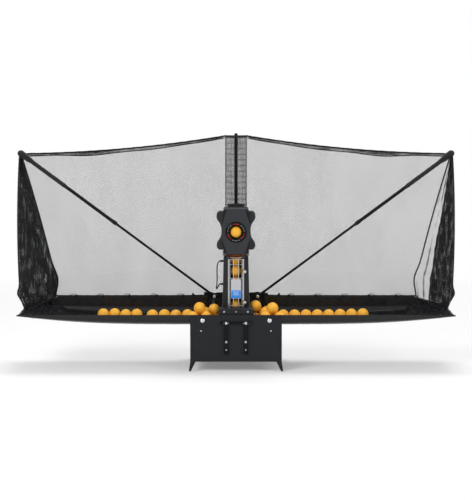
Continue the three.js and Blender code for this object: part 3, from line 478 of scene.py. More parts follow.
class Shader(Nodes):
    """The nodes of one material round its Principled shader."""

    def __init__(self, name: str) -> None:
        """Starts a material.

        Args:
            name: of the material.
        """
        self.material = bpy.data.materials.new(name)
        self.material.use_nodes = True
        super().__init__(self.material.node_tree)
        self.surface = self.tree.nodes["Principled BSDF"]
        self.coordinates = self.node("TexCoord", {}, "Object")

    def put(self, inputs: Dict[str, Any]) -> None:
        """Sets the surface's inputs."""
        self.fill(self.surface, inputs)

    def noise(self, size: float, detail: float, scale: Sequence[float] = (1, 1, 1),
              offset: float = 0.0) -> Any:
        """Soft noise.

        Args:
            size: of its larger spots, in millimetres.
            detail: how many finer layers it has.
            scale: stretch along each axis.
            offset: moves the pattern, so that two layers differ.

        Returns:
            The noise's output, from 0 to 1.
        """
        place = self.node("Mapping", {"Vector": self.coordinates, "Scale": scale})
        inputs = {"Vector": place, "Scale": 1 / (size * MM), "Detail": detail, "W": offset}
        return self.node("TexNoise", inputs, noise_dimensions="4D")

    def mixed(self, share: Any, first: Sequence[float], second: Sequence[float]) -> Any:
        """A colour between two, by a share."""
        return self.node("Mix", {0: share, 6: (*first, 1), 7: (*second, 1)}, 2, data_type="RGBA",
                         clamp_factor=False)

    def bump(self, height: Any, depth: float) -> None:
        """Raises the surface by a height, to a depth in millimetres."""
        self.put({"Normal": self.node("Bump", {"Height": height, "Strength": 1.0, "Distance": depth * MM})})


@dataclass(frozen=True)
class Finish:
    """A solid finish: its colour, its gloss, and the small faults that a real surface has."""

    name: str
    slot: str
    colour: str
    roughness: float = 0.45
    metallic: float = 0.0
    mottle: float = 0.08
    mottle_size: float = 25.0
    grain: float = 0.0
    grain_size: float = 0.8
    scuff: float = 0.08
    scuff_size: float = 12.0
    coat: float = 0.0
    clear: float = 0.0
    specular: float = 0.5
    stretch: Point = (1.0, 1.0, 1.0)

    def shades(self, *factors: float) -> List[List[float]]:
        """The finish's colour times each factor."""
        return [[min(1.0, c * factor) for c in srgb(self.colour)] for factor in factors]

    def make(self) -> bpy.types.Material:
        """Builds the material, mottled, scuffed and grained.

        Returns:
            The material.
        """
        shader = Shader(self.name)
        dark, light = self.shades(1 - self.mottle, 1 + self.mottle)
        light = [min(1.0, c + 0.004 * self.mottle) for c in light]
        spots = shader.spread(shader.noise(self.mottle_size, 4, self.stretch), 0, 1)
        worn = shader.noise(self.scuff_size, 6, self.stretch, 3.0)
        low, high = max(0.02, self.roughness - self.scuff / 2), min(1.0, self.roughness + self.scuff)
        shader.put({"Base Color": shader.mixed(spots, dark, light), "Metallic": self.metallic,
                    "Roughness": shader.spread(worn, low, high), "Specular IOR Level": self.specular,
                    "Coat Weight": self.coat, "Coat Roughness": 0.08, "Transmission Weight": self.clear})
        if self.grain:
            shader.bump(shader.noise(self.grain_size, 2, self.stretch, 7.0), self.grain)
        return shader.material


@dataclass(frozen=True)
class Weave(Finish):
    """Cloth of crossing threads that stand up a little."""

    pitch: float = 1.2

    def make(self) -> bpy.types.Material:
        """Builds the material, with threads along two axes, painted lighter than the shaded gaps between them
        and dimmed in patches as painted fold shade.

        Returns:
            The material.
        """
        shader = Shader(self.name)
        waves = [shader.node("TexWave", {"Vector": shader.coordinates, "Scale": 0.05 / (self.pitch * MM) * pi,
                                         "Distortion": 0.6, "Detail": 1.0}, "Fac", wave_type="BANDS",
                             bands_direction=direction) for direction in ("X", "Z")]
        threads = shader.math("MAXIMUM", *waves)
        # painted shade: this noise dims the threads in patches, as if folds shaded them; it also varies the
        # roughness
        folds = shader.noise(self.mottle_size, 4)
        share = shader.math("MULTIPLY", threads, shader.spread(folds, 0.55, 1.0))
        rough = shader.spread(folds, self.roughness, min(1.0, self.roughness + self.scuff))
        # painted light and shade: threads up to 1.5 times lighter, gaps 0.55 times darker
        shader.put({"Base Color": shader.mixed(share, *self.shades(0.55, 1.5)), "Roughness": rough,
                    "Sheen Weight": 0.25})
        shader.bump(threads, self.grain)
        return shader.material


@dataclass(frozen=True)
class Netting(Finish):
    """Knotted net: dark threads round open diamonds, drawn on the cloth's own lengths in metres."""

    pitch: float = 4.0
    thread: float = 0.24
    layers: int = 1
    crumple: float = 0.0
    # folds: how much lighter the creases are painted, a painted sheen on the folds
    folds: float = 0.0
    foot: float = 0.0
    lean: float = 0.62
    more_lean: float = 0.23
    shift: float = 0.31

    def threads(self, shader: Shader, cloth: Sequence[Any], layer: int) -> List[Any]:
        """One layer of net, leaning and shifted against the others.

        Args:
            shader: the material's nodes.
            cloth: lengths along the cloth's width and height.
            layer: the layer's number.

        Returns:
            Nearness to the threads that lean either way, from 0 to 1.
        """
        near = []
        lean = self.lean + self.more_lean * layer
        for slope in (lean, -lean):
            line = shader.math("ADD", shader.math("MULTIPLY", cloth[0], 1 / (self.pitch * MM)),
                               shader.math("MULTIPLY", cloth[1], slope / (self.pitch * MM)))
            line = shader.math("FRACT", shader.math("ADD", line, self.shift * layer))
            apart = shader.math("ABSOLUTE", shader.math("SUBTRACT", line, 0.5))
            near.append(shader.math("MULTIPLY", apart, 2.0))
        return near

    def make(self) -> bpy.types.Material:
        """Builds the material, open between its threads, with a painted sheen: lighter at the knots and,
        where folds is set, along the creases.

        Returns:
            The material.
        """
        shader = Shader(self.name)
        lengths = shader.node("UVMap", {}, uv_map="Cloth")
        split = shader.node("SeparateXYZ", {0: lengths}).node
        layers = [self.threads(shader, split.outputs[:2], layer) for layer in range(self.layers)]
        # painted sheen: lighter where two threads cross, at the knots
        painted_sheen = shader.math("MINIMUM", *layers[0])
        closest = shader.math("MAXIMUM", *layers[0])
        for layer in layers[1:]:
            closest = shader.math("MAXIMUM", closest, shader.math("MAXIMUM", *layer))
        if self.crumple:
            creases = shader.noise(self.mottle_size, 5, self.stretch)
            closest = shader.math("ADD", closest, shader.spread(creases, -self.crumple, self.crumple))
            # painted sheen: the crease noise also lightens the colour along the folds, by folds
            if self.folds:
                painted_sheen = shader.math("ADD", shader.math("MULTIPLY", painted_sheen, 0.3),
                                   shader.spread(creases, self.folds * 3, 0.0, 0.32, 0.46))
        if self.foot:
            closest = shader.math("ADD", closest, shader.spread(split.outputs[1], self.foot, 0.0, 0.0, 0.3))
        solid = shader.spread(closest, 0.0, 1.0, 1 - self.thread * 1.25, 1 - self.thread * 0.8)
        # the colour runs from the net's own colour up to a painted sheen 1.6 times lighter
        shader.put({"Base Color": shader.mixed(painted_sheen, *self.shades(1, 1.6)), "Roughness": self.roughness,
                    "Specular IOR Level": self.specular, "Alpha": solid})
        return shader.material


NYLON = "net_nylon"


class Look:
    """The robot's finishes, each with the record's material slot that it belongs to."""

    BASE = Finish("Base_plastic", "base_plastic", "17191D", 0.42, grain=0.05, grain_size=1.1, scuff=0.14,
                  specular=0.24)
    TRAY = Finish("Tray_plastic", "tray_plastic", "111214", 0.24, grain=0.02, grain_size=1.4, scuff=0.16,
                  scuff_size=26.0, coat=0.1, specular=0.3)
    FACE = Finish("Face_plate_plastic", "head_plastic", "292B2F", 0.4, grain=0.025, grain_size=0.7,
                  mottle=0.05, mottle_size=60.0, specular=0.32)
    COVER = Finish("Side_cover_plastic", "cover_plastic", "1F2125", 0.34, grain=0.03, mottle=0.06,
                   specular=0.32)
    HOUSING = Finish("Housing_plastic", "cover_plastic", "1A1A1C", 0.5, grain=0.05, specular=0.28)
    TOWER = Finish("Tower_plastic", "tower_plastic", "1E1D1E", 0.46, grain=0.05, grain_size=0.9, mottle=0.1,
                   mottle_size=45.0, specular=0.28)
    GLOSS = Finish("Gloss_black", "gloss_black", "050506", 0.2, mottle=0.2, specular=0.16)
    RED = Finish("Ring_red", "gloss_black", "D0202A", 0.4, mottle=0.12, mottle_size=5.0, specular=0.3)
    WHITE = Finish("Ring_white", "label_grey", "F2F2F4", 0.4, mottle=0.06, mottle_size=5.0)
    CHROME = Finish("Chrome", "chrome", "D4D6D9", 0.12, 1.0, mottle=0.05, scuff=0.1, scuff_size=8.0)
    STEEL = Finish("Pressed_steel", "steel", "8A8D92", 0.34, 1.0, mottle=0.1, scuff=0.14, grain=0.01,
                   grain_size=0.6, stretch=(1.0, 1.0, 0.12))
    # Near-black painted shade inside the screw sockets; the nozzle's rim line wears it too.
    SOCKET = Finish("Screw_socket", "gloss_black", "0E0E10", 0.7, mottle=0.2, specular=0.2)
    BALL = Finish("Ball_orange", "ball_orange", "FFB938", 0.46, mottle=0.05, mottle_size=18.0, grain=0.015,
                  grain_size=0.5, scuff=0.12, specular=0.4)
    SEAM = Finish("Ball_seam", "ball_orange", "E0861F", 0.5, mottle=0.1)
    RUBBER = Finish("Wheel_rubber", "wheel_rubber", "161617", 0.82, grain=0.12, grain_size=1.2, mottle=0.2,
                    specular=0.25)
    GREY = Finish("Label_grey", "label_grey", "C6C6CA", 0.42, mottle=0.04, mottle_size=9.0)
    BLUE = Finish("Label_blue", "label_grey", "2A90EE", 0.36, mottle=0.06, mottle_size=9.0)
    KNOB = Finish("Knob_brown", "knob_brown", "4A2E1C", 0.22, mottle=0.25, mottle_size=6.0, coat=0.3)
    PEARL = Finish("Knob_pearl", "knob_brown", "C9C6BE", 0.2, 0.35, mottle_size=4.0, coat=0.4)
    CLEAR = Finish("Clear_plastic", "clear_plastic", "D8DADC", 0.12, clear=0.75, mottle=0.04)
    AMBER = Finish("Amber_plastic", "amber_plastic", "B9601A", 0.18, clear=0.45, mottle=0.15,
                   mottle_size=10.0)
    ROD = Finish("Rod_paint", "rod_black", "0A0A0B", 0.4, mottle=0.25, grain=0.02, grain_size=0.9, scuff=0.16,
                 specular=0.16)
    CABLE = Finish("Cable_sheath", "cable_black", "0E0E0F", 0.48, mottle=0.15, grain=0.03, grain_size=1.0,
                   specular=0.3)
    # Both cloths paint lit threads, shaded gaps and shaded fold patches into their colour.
    BRAID = Weave("Rod_sleeve_cloth", NYLON, "0B0B0D", 0.85, grain=0.25, pitch=1.6, mottle_size=30.0)
    HEM = Weave("Net_hem_cloth", NYLON, "0B0B0D", 0.9, grain=0.25, pitch=1.4, mottle_size=22.0)
    # Every net paints its knots lighter, and folds paints its creases lighter: painted sheen.
    NET = Netting("Net_nylon", NYLON, "111214", 0.8, crumple=0.02, foot=0.035, mottle_size=70.0,
                  stretch=(1.0, 1.0, 0.35), specular=0.2)
    NET_DENSE = Netting("Net_nylon_gathered", NYLON, "111214", 0.85, pitch=5.0, thread=0.42, layers=3,
                        crumple=0.17, folds=0.4, mottle_size=12.0, stretch=(1.4, 1.0, 0.3), specular=0.2)
    NET_PLEAT = Netting("Net_nylon_pleated", NYLON, "15161A", 0.85, pitch=4.5, thread=0.29, layers=2,
                        crumple=0.05, mottle_size=9.0, stretch=(1.0, 1.0, 0.05), specular=0.25)
    NET_FOLD = Netting("Net_nylon_folded", NYLON, "101113", 0.85, pitch=4.5, thread=0.34, layers=2,
                       crumple=0.14, folds=0.3, mottle_size=14.0, stretch=(0.3, 1.0, 1.0), specular=0.2)
    NET_HEAP = Netting("Net_nylon_heaped", NYLON, "121315", 0.9, pitch=5.0, thread=0.44, layers=3,
                       crumple=0.12, folds=2.4, mottle_size=9.0, stretch=(1.0, 0.6, 1.0), specular=0.2)


# The screws' metal, and the painted shade of their sockets.
METAL = (Look.CHROME, Look.SOCKET)
BALLS = (Look.BALL, Look.SEAM)


class Workshop:
    """Turns shells into pieces that ride on the robot's bodies, and dresses its own solids."""

    def __init__(self, frame: Dict[str, Any]) -> None:
        self.frame = frame
        self.materials: Dict[str, bpy.types.Material] = {}
        self.count = 0

    def material(self, finish: Finish) -> bpy.types.Material:
        """The material of a finish, made once."""
        if finish.name not in self.materials:
            self.materials[finish.name] = finish.make()
        return self.materials[finish.name]

    @staticmethod
    def show(name: str, data: Any) -> Piece:
        """An object of a mesh, curve, lamp or camera, in the scene."""
        made = bpy.data.objects.new(name, data)
        bpy.context.scene.collection.objects.link(made)
        return made

    def mesh(self, name: str, shell: Shell, finishes: Sequence[Finish], closed: bool = True) -> Piece:
        """Makes an object of a shell.

        Args:
            name: of the object.
            shell: its points and faces.
            finishes: by the numbers on its faces.
            closed: whether its faces are turned to look outwards.

        Returns:
            The object, in the scene.
        """
        mesh = bpy.data.meshes.new(name)
        mesh.from_pydata([in_frame(p) for p in shell.points], [], shell.faces)
        for finish in finishes:
            mesh.materials.append(self.material(finish))
        mesh.polygons.foreach_set("material_index", shell.finishes)
        if closed:
            work = bmesh.new()
            work.from_mesh(mesh)
            bmesh.ops.remove_doubles(work, verts=work.verts, dist=WELD)
            bmesh.ops.recalc_face_normals(work, faces=work.faces)
            work.to_mesh(mesh)
            work.free()
        mesh.update()
        return self.show(name, mesh)

    def carve(self, piece: Piece, cutters: Sequence[Shell]) -> None:
        """Cuts shells out of a piece.

        Args:
            piece: what is cut.
            cutters: the shells to take away.
        """
        for shell in cutters:
            tool = self.mesh(f"{piece.name}_cut", shell, [])
            step = piece.modifiers.new("carve", "BOOLEAN")
            step.operation = "DIFFERENCE"
            step.solver = "EXACT"
            step.object = tool
            bpy.context.view_layer.update()
            graph = bpy.context.evaluated_depsgraph_get()
            result = bpy.data.meshes.new_from_object(piece.evaluated_get(graph), depsgraph=graph)
            piece.modifiers.clear()
            piece.data = result
            bpy.data.objects.remove(tool)

    @staticmethod
    def bevel(piece: Piece, edge: float, sharp: float, segments: int = 2) -> None:
        """Rounds the edges that bend by more than an angle.

        Args:
            piece: what is rounded.
            edge: width of the rounding in millimetres.
            sharp: the smallest bend, in degrees.
            segments: of the rounding.
        """
        step = piece.modifiers.new("edges", "BEVEL")
        step.width = edge * MM
        step.segments = segments
        step.limit_method = "ANGLE"
        step.angle_limit = radians(sharp)
        step.harden_normals = True
        step.miter_outer = "MITER_ARC"

    def piece(self, name: str, shell: Shell, *finishes: Finish, body: str = "base", slot: str = "",
              stands_for: str = "", side: Optional[Side] = None, edge: float = 0.0, sharp: float = SHARP,
              cutters: Sequence[Shell] = (), segments: int = 2) -> Piece:
        """Makes a piece, softens it and lets it ride on a body. Names take the side's word for {}.

        Args:
            name: of the piece.
            shell: its points and faces, as on the right side.
            finishes: by the numbers on its faces.
            body: the robot's body that carries it.
            slot: the record's material slot, where it isn't the first finish's own.
            stands_for: the solid that it takes the place of.
            side: the side that it is on, where it is drawn for one side.
            edge: width of its rounded edges in millimetres, or 0 for crisp edges.
            sharp: edges that bend by more degrees than this are rounded or stay crisp.
            cutters: shells cut out of it, as on the right side.
            segments: of the rounded edges.

        Returns:
            The piece.
        """
        name, body, stands_for = (text.format(side.word if side else "") for text in (name, body, stands_for))
        made = self.mesh(name, shell.on(side), finishes)
        self.carve(made, [cutter.on(side) for cutter in cutters])
        made.data.polygons.foreach_set("use_smooth", [True] * len(made.data.polygons))
        if edge > 0:
            self.bevel(made, edge, sharp, segments)
        else:
            made.data.set_sharp_from_angle(angle=radians(sharp))
        self.mount(made, body, slot or finishes[0].slot, stands_for)
        self.count += 1
        return made

    @staticmethod
    def mount(piece: Piece, body: str, slot: str, stands_for: str = "") -> None:
        """Lets a piece ride on a body.

        Args:
            piece: the piece.
            body: the body.
            slot: not used.
            stands_for: the solid that it takes the place of.
        """
        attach(piece, body)
        if stands_for:
            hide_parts(stands_for)
        LOG.info("piece %s rides on %s", piece.name, body)

    def dress(self, finish: Finish, edge: float, *nodes: str) -> None:
        """Gives the robot's own solids a finish and rounds their edges.

        Args:
            finish: the finish.
            edge: width of the rounded edges in millimetres, or 0.
            nodes: names of the solids.
        """
        for name in nodes:
            node = self.frame["nodes"][name]
            if not node.data.materials:
                node.data.materials.append(None)
            for slot in node.material_slots:
                slot.material = self.material(finish)
            if edge > 0:
                node.modifiers.new("seams", "WELD").merge_threshold = WELD
                self.bevel(node, edge, SHARP)
            LOG.info("solid %s dressed in %s", name, finish.name)


@dataclass
class Assembly:
    """Something that the workshop builds and dresses."""

    shop: Workshop

    def build(self) -> None:
        """Builds the assembly's pieces."""
        raise NotImplementedError


# The robot's assemblies


@dataclass
class Base(Assembly):
    """Front and rear plate on legs, side walls, hopper, feed and its hood."""

    half_width: float = 155.0
    half_depth: float = 125.0
    sheet: float = 3.0
    top: float = 193.0
    bottom: float = 33.0
    corner_top: float = 236.0
    wall_outer: float = 150.0
    hood_half: float = 60.0
    hood_top: float = 212.3
    hood_foot: float = 193.3
    hood_depth: float = 63.0
    hinge_x: float = 113.0
    hinge_z: float = 174.0
    hinge_hole: float = 4.3

    def build(self) -> None:
        """Builds the plates, the walls, the hood and the small parts on them."""
        self.plates()
        self.beads()
        self.walls()
        self.hood()
        self.hinge_screws()
        self.flap()
        self.shop.dress(Look.BASE, 0.5, "hopper_floor", "feed_wheel")
        self.shop.dress(Look.STEEL, 0.6, "feed_motor")

    def plates(self) -> None:
        """The two plates, the lugs of the hook bar, and the rear plate's raised corners."""
        y = self.half_depth
        leg = [(self.half_width, self.bottom), (160, 0), (153, 0), (self.half_width - 18, self.bottom)]
        front = prism(both([(self.half_width, self.top), *leg]), -y, self.sheet - y, Axis.Y)
        front.join(box((46, 50), (-137.5, -123.5), (159, 173)).twice())
        corner = [(105, self.top), (130, 214.5), (self.half_width, self.corner_top)]
        rear = prism(both([*corner, *leg]), y - self.sheet, y, Axis.Y)
        for word, shell, towards in (("front", front, -1), ("rear", rear, 1)):
            low, high = sorted((towards * (y + 4), towards * (y - 8)))
            holes = [rod(self.hinge_hole, low, high, (side.value * self.hinge_x, 0, self.hinge_z), Axis.Y)
                     for side in Side]
            self.shop.piece(f"{word}_plate_pressed", shell, Look.BASE, stands_for=f"{word}_plate", edge=0.7,
                            cutters=holes)

    def beads(self) -> None:
        """Raised beads on both plates, arcs round the tray hinges, and small bright screws."""
        beads, screws = Shell(), Shell()
        for towards in (-1, 1):
            y = towards * self.half_depth
            for path in ([(-146, 44), (-146, 120)], [(146, 120), (146, 44)], [(-134, 40), (134, 40)]):
                beads.join(tube([(x, y, z) for x, z in path], 0.9))
            for side in Side:
                beads.join(tube([(side.value * (self.hinge_x + 29 * c), y, self.hinge_z + 29 * s)
                                 for c, s in fan(-118, 8, 16)], 1.0))
            screws.join(screw((118, y, 139), Axis.Y, towards, 3.0, 1.7).twice())
        screws.join(screw((136, self.half_depth, 200), Axis.Y, 1, 3.4, 1.7).twice())
        self.shop.piece("plate_beads", beads, Look.BASE)
        self.shop.piece("plate_screws", screws, *METAL)

    def walls(self) -> None:
        """The side walls, hollowed for the trays."""
        reach = self.half_depth - self.sheet - GAP
        tray = Tray(self.shop)
        shares = [-1 + 2 * k / 48 for k in range(49)]
        top = [(share * tray.half_depth, min(barrel(share, tray.bottom) - self.sheet, self.hinge_z))
               for share in shares]
        end = top[0][1]
        outline = [(-reach, self.bottom), (reach, self.bottom), (reach, end), *reversed(top), (-reach, end)]
        shell = prism(outline, self.wall_outer - self.sheet, self.wall_outer, Axis.X)
        for y in (-70, 0, 70):
            shell.join(tube([(self.wall_outer, y, 46), (self.wall_outer, y, 118)], 1.1))
        for side in Side:
            self.shop.piece("side_wall_pressed_{}", shell, Look.BASE, stands_for="side_wall_{}", side=side,
                            edge=0.6, sharp=40)

    def hood(self) -> None:
        """The hood over the feed, with its ribs, strip and screws."""
        front, rear, half = -self.half_depth, self.hood_depth - self.half_depth, self.hood_half
        shell = prism(self.hood_outline(0), front, rear, Axis.Y)
        inner = prism(self.hood_outline(self.sheet), front + self.sheet, rear + 2, Axis.Y)
        for y in (front + 16, front + 31, front + 46):
            shell.join(tube([(half - 9, y, self.hood_top), (9 - half, y, self.hood_top)], 0.9))
        self.shop.piece("feed_hood_ribbed", shell, Look.BASE, stands_for="feed_hood", edge=0.8,
                        cutters=[inner])
        strip = box((3 - half, half - 3), (front - 0.9, front - 0.02), (194.4, 197.2))
        self.shop.piece("feed_hood_strip", strip, Look.GLOSS, edge=0.4)
        screws = screw((40, front, 204), Axis.Y, -1).twice()
        screws.join(screw((0, front, 204), Axis.Y, -1, 2.0, 1.0))
        self.shop.piece("feed_hood_screws", screws, *METAL)

    def hood_outline(self, inset: float) -> List[Pair]:
        """The hood's front outline, moved inwards.

        Args:
            inset: how far.

        Returns:
            The outline.
        """
        corner = 8 - inset
        x, z = self.hood_half - inset - corner, self.hood_top - inset - corner
        arc = [(x + corner * c, z + corner * s) for c, s in fan(0, 15, 7)]
        return both([(self.hood_half - inset, self.hood_foot - (2 if inset else 0)), *arc])[::-1]

    def hinge_screws(self) -> None:
        """The four screws that the trays turn on."""
        for side in Side:
            for word, towards in (("front", -1), ("rear", 1)):
                y = towards * (self.half_depth + GAP)
                shell = screw((self.hinge_x, y, self.hinge_z), Axis.Y, towards, 7, 3, hollow=0)
                low, high = sorted((y - towards * 19, y + towards * 0.2))
                shell.join(rod(4, low, high, (self.hinge_x, 0, self.hinge_z), Axis.Y))
                self.shop.piece(f"tray_screw_head_{word}_{{}}", shell, *METAL,
                                stands_for=f"tray_screw_{word}_{{}}", side=side)

    def flap(self) -> None:
        """The rubber flap that closes the gap between the rear plate and the net's foot."""
        rings = []
        for k in range(57):
            x = -112 + 4 * k
            top = self.corner_top + 1.6 * sin(x * 0.11) + 1.1 * sin(x * 0.27)
            near = 119.2 + 0.35 * sin(x * 0.16)
            far = near + 1.4
            rings.append([(x, near, 186), (x, far, 186), (x, far, top), (x, near, top)])
        self.shop.piece("net_foot_flap", skin(rings), Look.HEM, sharp=60)


@dataclass
class Tray(Assembly):
    """A ball tray: a half barrel that grows shallow towards its tip."""

    side: Side = Side.RIGHT
    inner_end: float = 100.0
    tip: float = 742.0
    half_depth: float = 118.0
    bottom: float = 150.0
    tip_rise: float = 33.0
    rim: float = 190.0
    rear_rim: float = 222.0
    rear_rim_end: float = 620.0
    wall: float = 3.0
    slot_x: float = 708.0

    def bottom_at(self, x: float) -> float:
        """Height of the underside's lowest line."""
        share = min(1.0, max(0.0, (x - self.inner_end) / (self.tip - self.inner_end)))
        return self.bottom + self.tip_rise * share ** 3.5

    def under(self, x: float, y: float) -> float:
        """Height of the underside."""
        return barrel(y / self.half_depth, self.bottom_at(x))

    def rear_at(self, x: float) -> float:
        """Height of the rear rim."""
        past = max(0.0, (x - self.rear_rim_end) / (self.tip - self.rear_rim_end))
        return max(self.rim + 0.3, mix(self.rear_rim, self.rim, past))

    def section(self, x: float) -> Ring:
        """The points across the tray at one place.

        Args:
            x: the place.

        Returns:
            A closed ring: the underside, the rear rim and the floor.
        """
        depths = [self.half_depth * sin(radians(4.5 * k)) for k in range(-20, 21)]
        scale = 1 - self.wall / self.half_depth
        outer = [(x, y, self.under(x, y)) for y in depths]
        inner = [(x, y * scale, min(self.rim, self.under(x, y) + self.wall)) for y in reversed(depths)]
        back = self.rear_at(x)
        return [*outer, (x, self.half_depth, back), (x, self.half_depth - self.wall, back), *inner]

    def part(self, name: str, shell: Shell, *finishes: Finish, **more: Any) -> None:
        """A piece that folds with this tray."""
        self.shop.piece(name, shell, *finishes, body="tray_{}", side=self.side, **more)

    def build(self) -> None:
        """Builds the barrel, its hinge bosses, rims, ribs and rivets."""
        xs = [mix(self.inner_end, self.tip, k / 44) for k in range(45)]
        slot = rounded((self.slot_x - 10, self.slot_x + 10), (-45, 45), 9.9, 8)
        self.part("tray_barrel_{}", skin([self.section(x) for x in xs]), Look.TRAY, stands_for="tray_{}",
                  edge=0.5, sharp=38, cutters=[prism(slot, 150, 222, Axis.Z)])
        bosses = Shell()
        for low, high in ((-121.7, -101.7), (101.7, 121.7)):
            ring = [(4.3, low), (8.5, low), (9, low + 0.5), (9, high - 0.5), (8.5, high), (4.3, high),
                    (4.3, low)]
            bosses.join(lathe(ring, (113, 0, 174), Axis.Y, 28))
        self.part("tray_bosses_{}", bosses, Look.TRAY)
        beads = tube([(x, 1.6 - self.half_depth, self.rim) for x in xs], 1.7, 10)
        beads.join(tube([(x, self.half_depth - 1.6, self.rear_at(x)) for x in xs], 1.7, 10))
        for y in (-34, 34):
            share = y / (self.half_depth - self.wall)
            beads.join(tube([(x, y, barrel(share, self.bottom_at(x)) + self.wall)
                             for x in xs if 104 < x < 690], 1.3))
        self.part("tray_beads_{}", beads, Look.TRAY)
        lip = rounded((self.slot_x - 11, self.slot_x + 11), (-46, 46), 10.9, 8)
        edge = [(x, y, self.under(x, y) - 0.2) for x, y in lip]
        self.part("hand_slot_lip_{}", tube(edge, 1.3, closed=True), Look.TRAY)
        rivets = [screw((x, y, self.under(x, y) + 0.6), Axis.Z, -1, 3.2, 2.2)
                  for x, y in ((726, -70), (726, 70), (690, -96), (690, 96))]
        self.part("tray_rivets_{}", Shell().join(*rivets), *METAL)


@dataclass
class TableHooks(Assembly):
    """The chrome bar and the two pressed arms that hook over a table."""

    bar: Point = (0.0, -131.5, 166.0)
    x: float = 33.0
    length: float = 105.0
    half: float = 7.0

    def build(self) -> None:
        """Builds the bar with its end caps, and both arms."""
        shell = rod(3, -50, 50, self.bar, Axis.X, 28, 0.6)
        cap = rod(4.6, 51, 53.4, self.bar, Axis.X, 24, 0.8, finish=1)
        shell.join(cap.join(band(3.2, 3.7, 40.6, 49.4, self.bar, Axis.X, finish=1)).twice())
        shell.join(band(3.2, 3.7, -25, 25, self.bar, Axis.X, finish=1))
        self.shop.piece("hook_bar_chrome", shell, Look.CHROME, Look.GLOSS, stands_for="hook_bar")
        for side in Side:
            self.arm(side)

    def arm(self, side: Side) -> None:
        """One arm: an eye, a folded channel, and the nose that grips the table.

        Args:
            side: the side that it is on.
        """
        y, top = self.bar[1:]
        foot, left, right = top - self.length, self.x - self.half, self.x + self.half
        shell = box((left, right), (y + 0.5, y + 2.5), (foot, top))
        flange = [(y - 2.5, top), (y - 2.5, foot + 12), (y - 5.5, foot + 10), (y - 5.5, foot),
                  (y + 2.5, foot), (y + 2.5, top)]
        shell.join(*[prism(flange, x, x + 2, Axis.X) for x in (left, right - 2)])
        eye = [(3.3, left), (5.3, left), (5.8, left + 0.5), (5.8, right - 0.5), (5.3, right), (3.3, right),
               (3.3, left)]
        shell.join(box((left, right), (y - 5.5, y + 2.5), (foot, foot + 3)), lathe(eye, self.bar, Axis.X, 28))
        body = "table_hook_{}"
        self.shop.piece(body + "_pressed", shell, Look.GLOSS, body=body, slot="base_plastic", stands_for=body,
                        side=side, edge=0.4)
        strap = [(5.4, -3.6), (5.9, -3.4), (5.95, -2.9), (5.95, 2.9), (5.9, 3.4), (5.4, 3.6)]
        screws = lathe(strap, (self.x, y, top), Axis.X, 28)
        screws.join(*[screw((self.x, y + 0.5, foot + rise), Axis.Y, -1, size, 2.2)
                      for rise, size in ((41, 4.2), (14, 2.6))])
        self.shop.piece(body + "_screws", screws, *METAL, body=body, side=side)


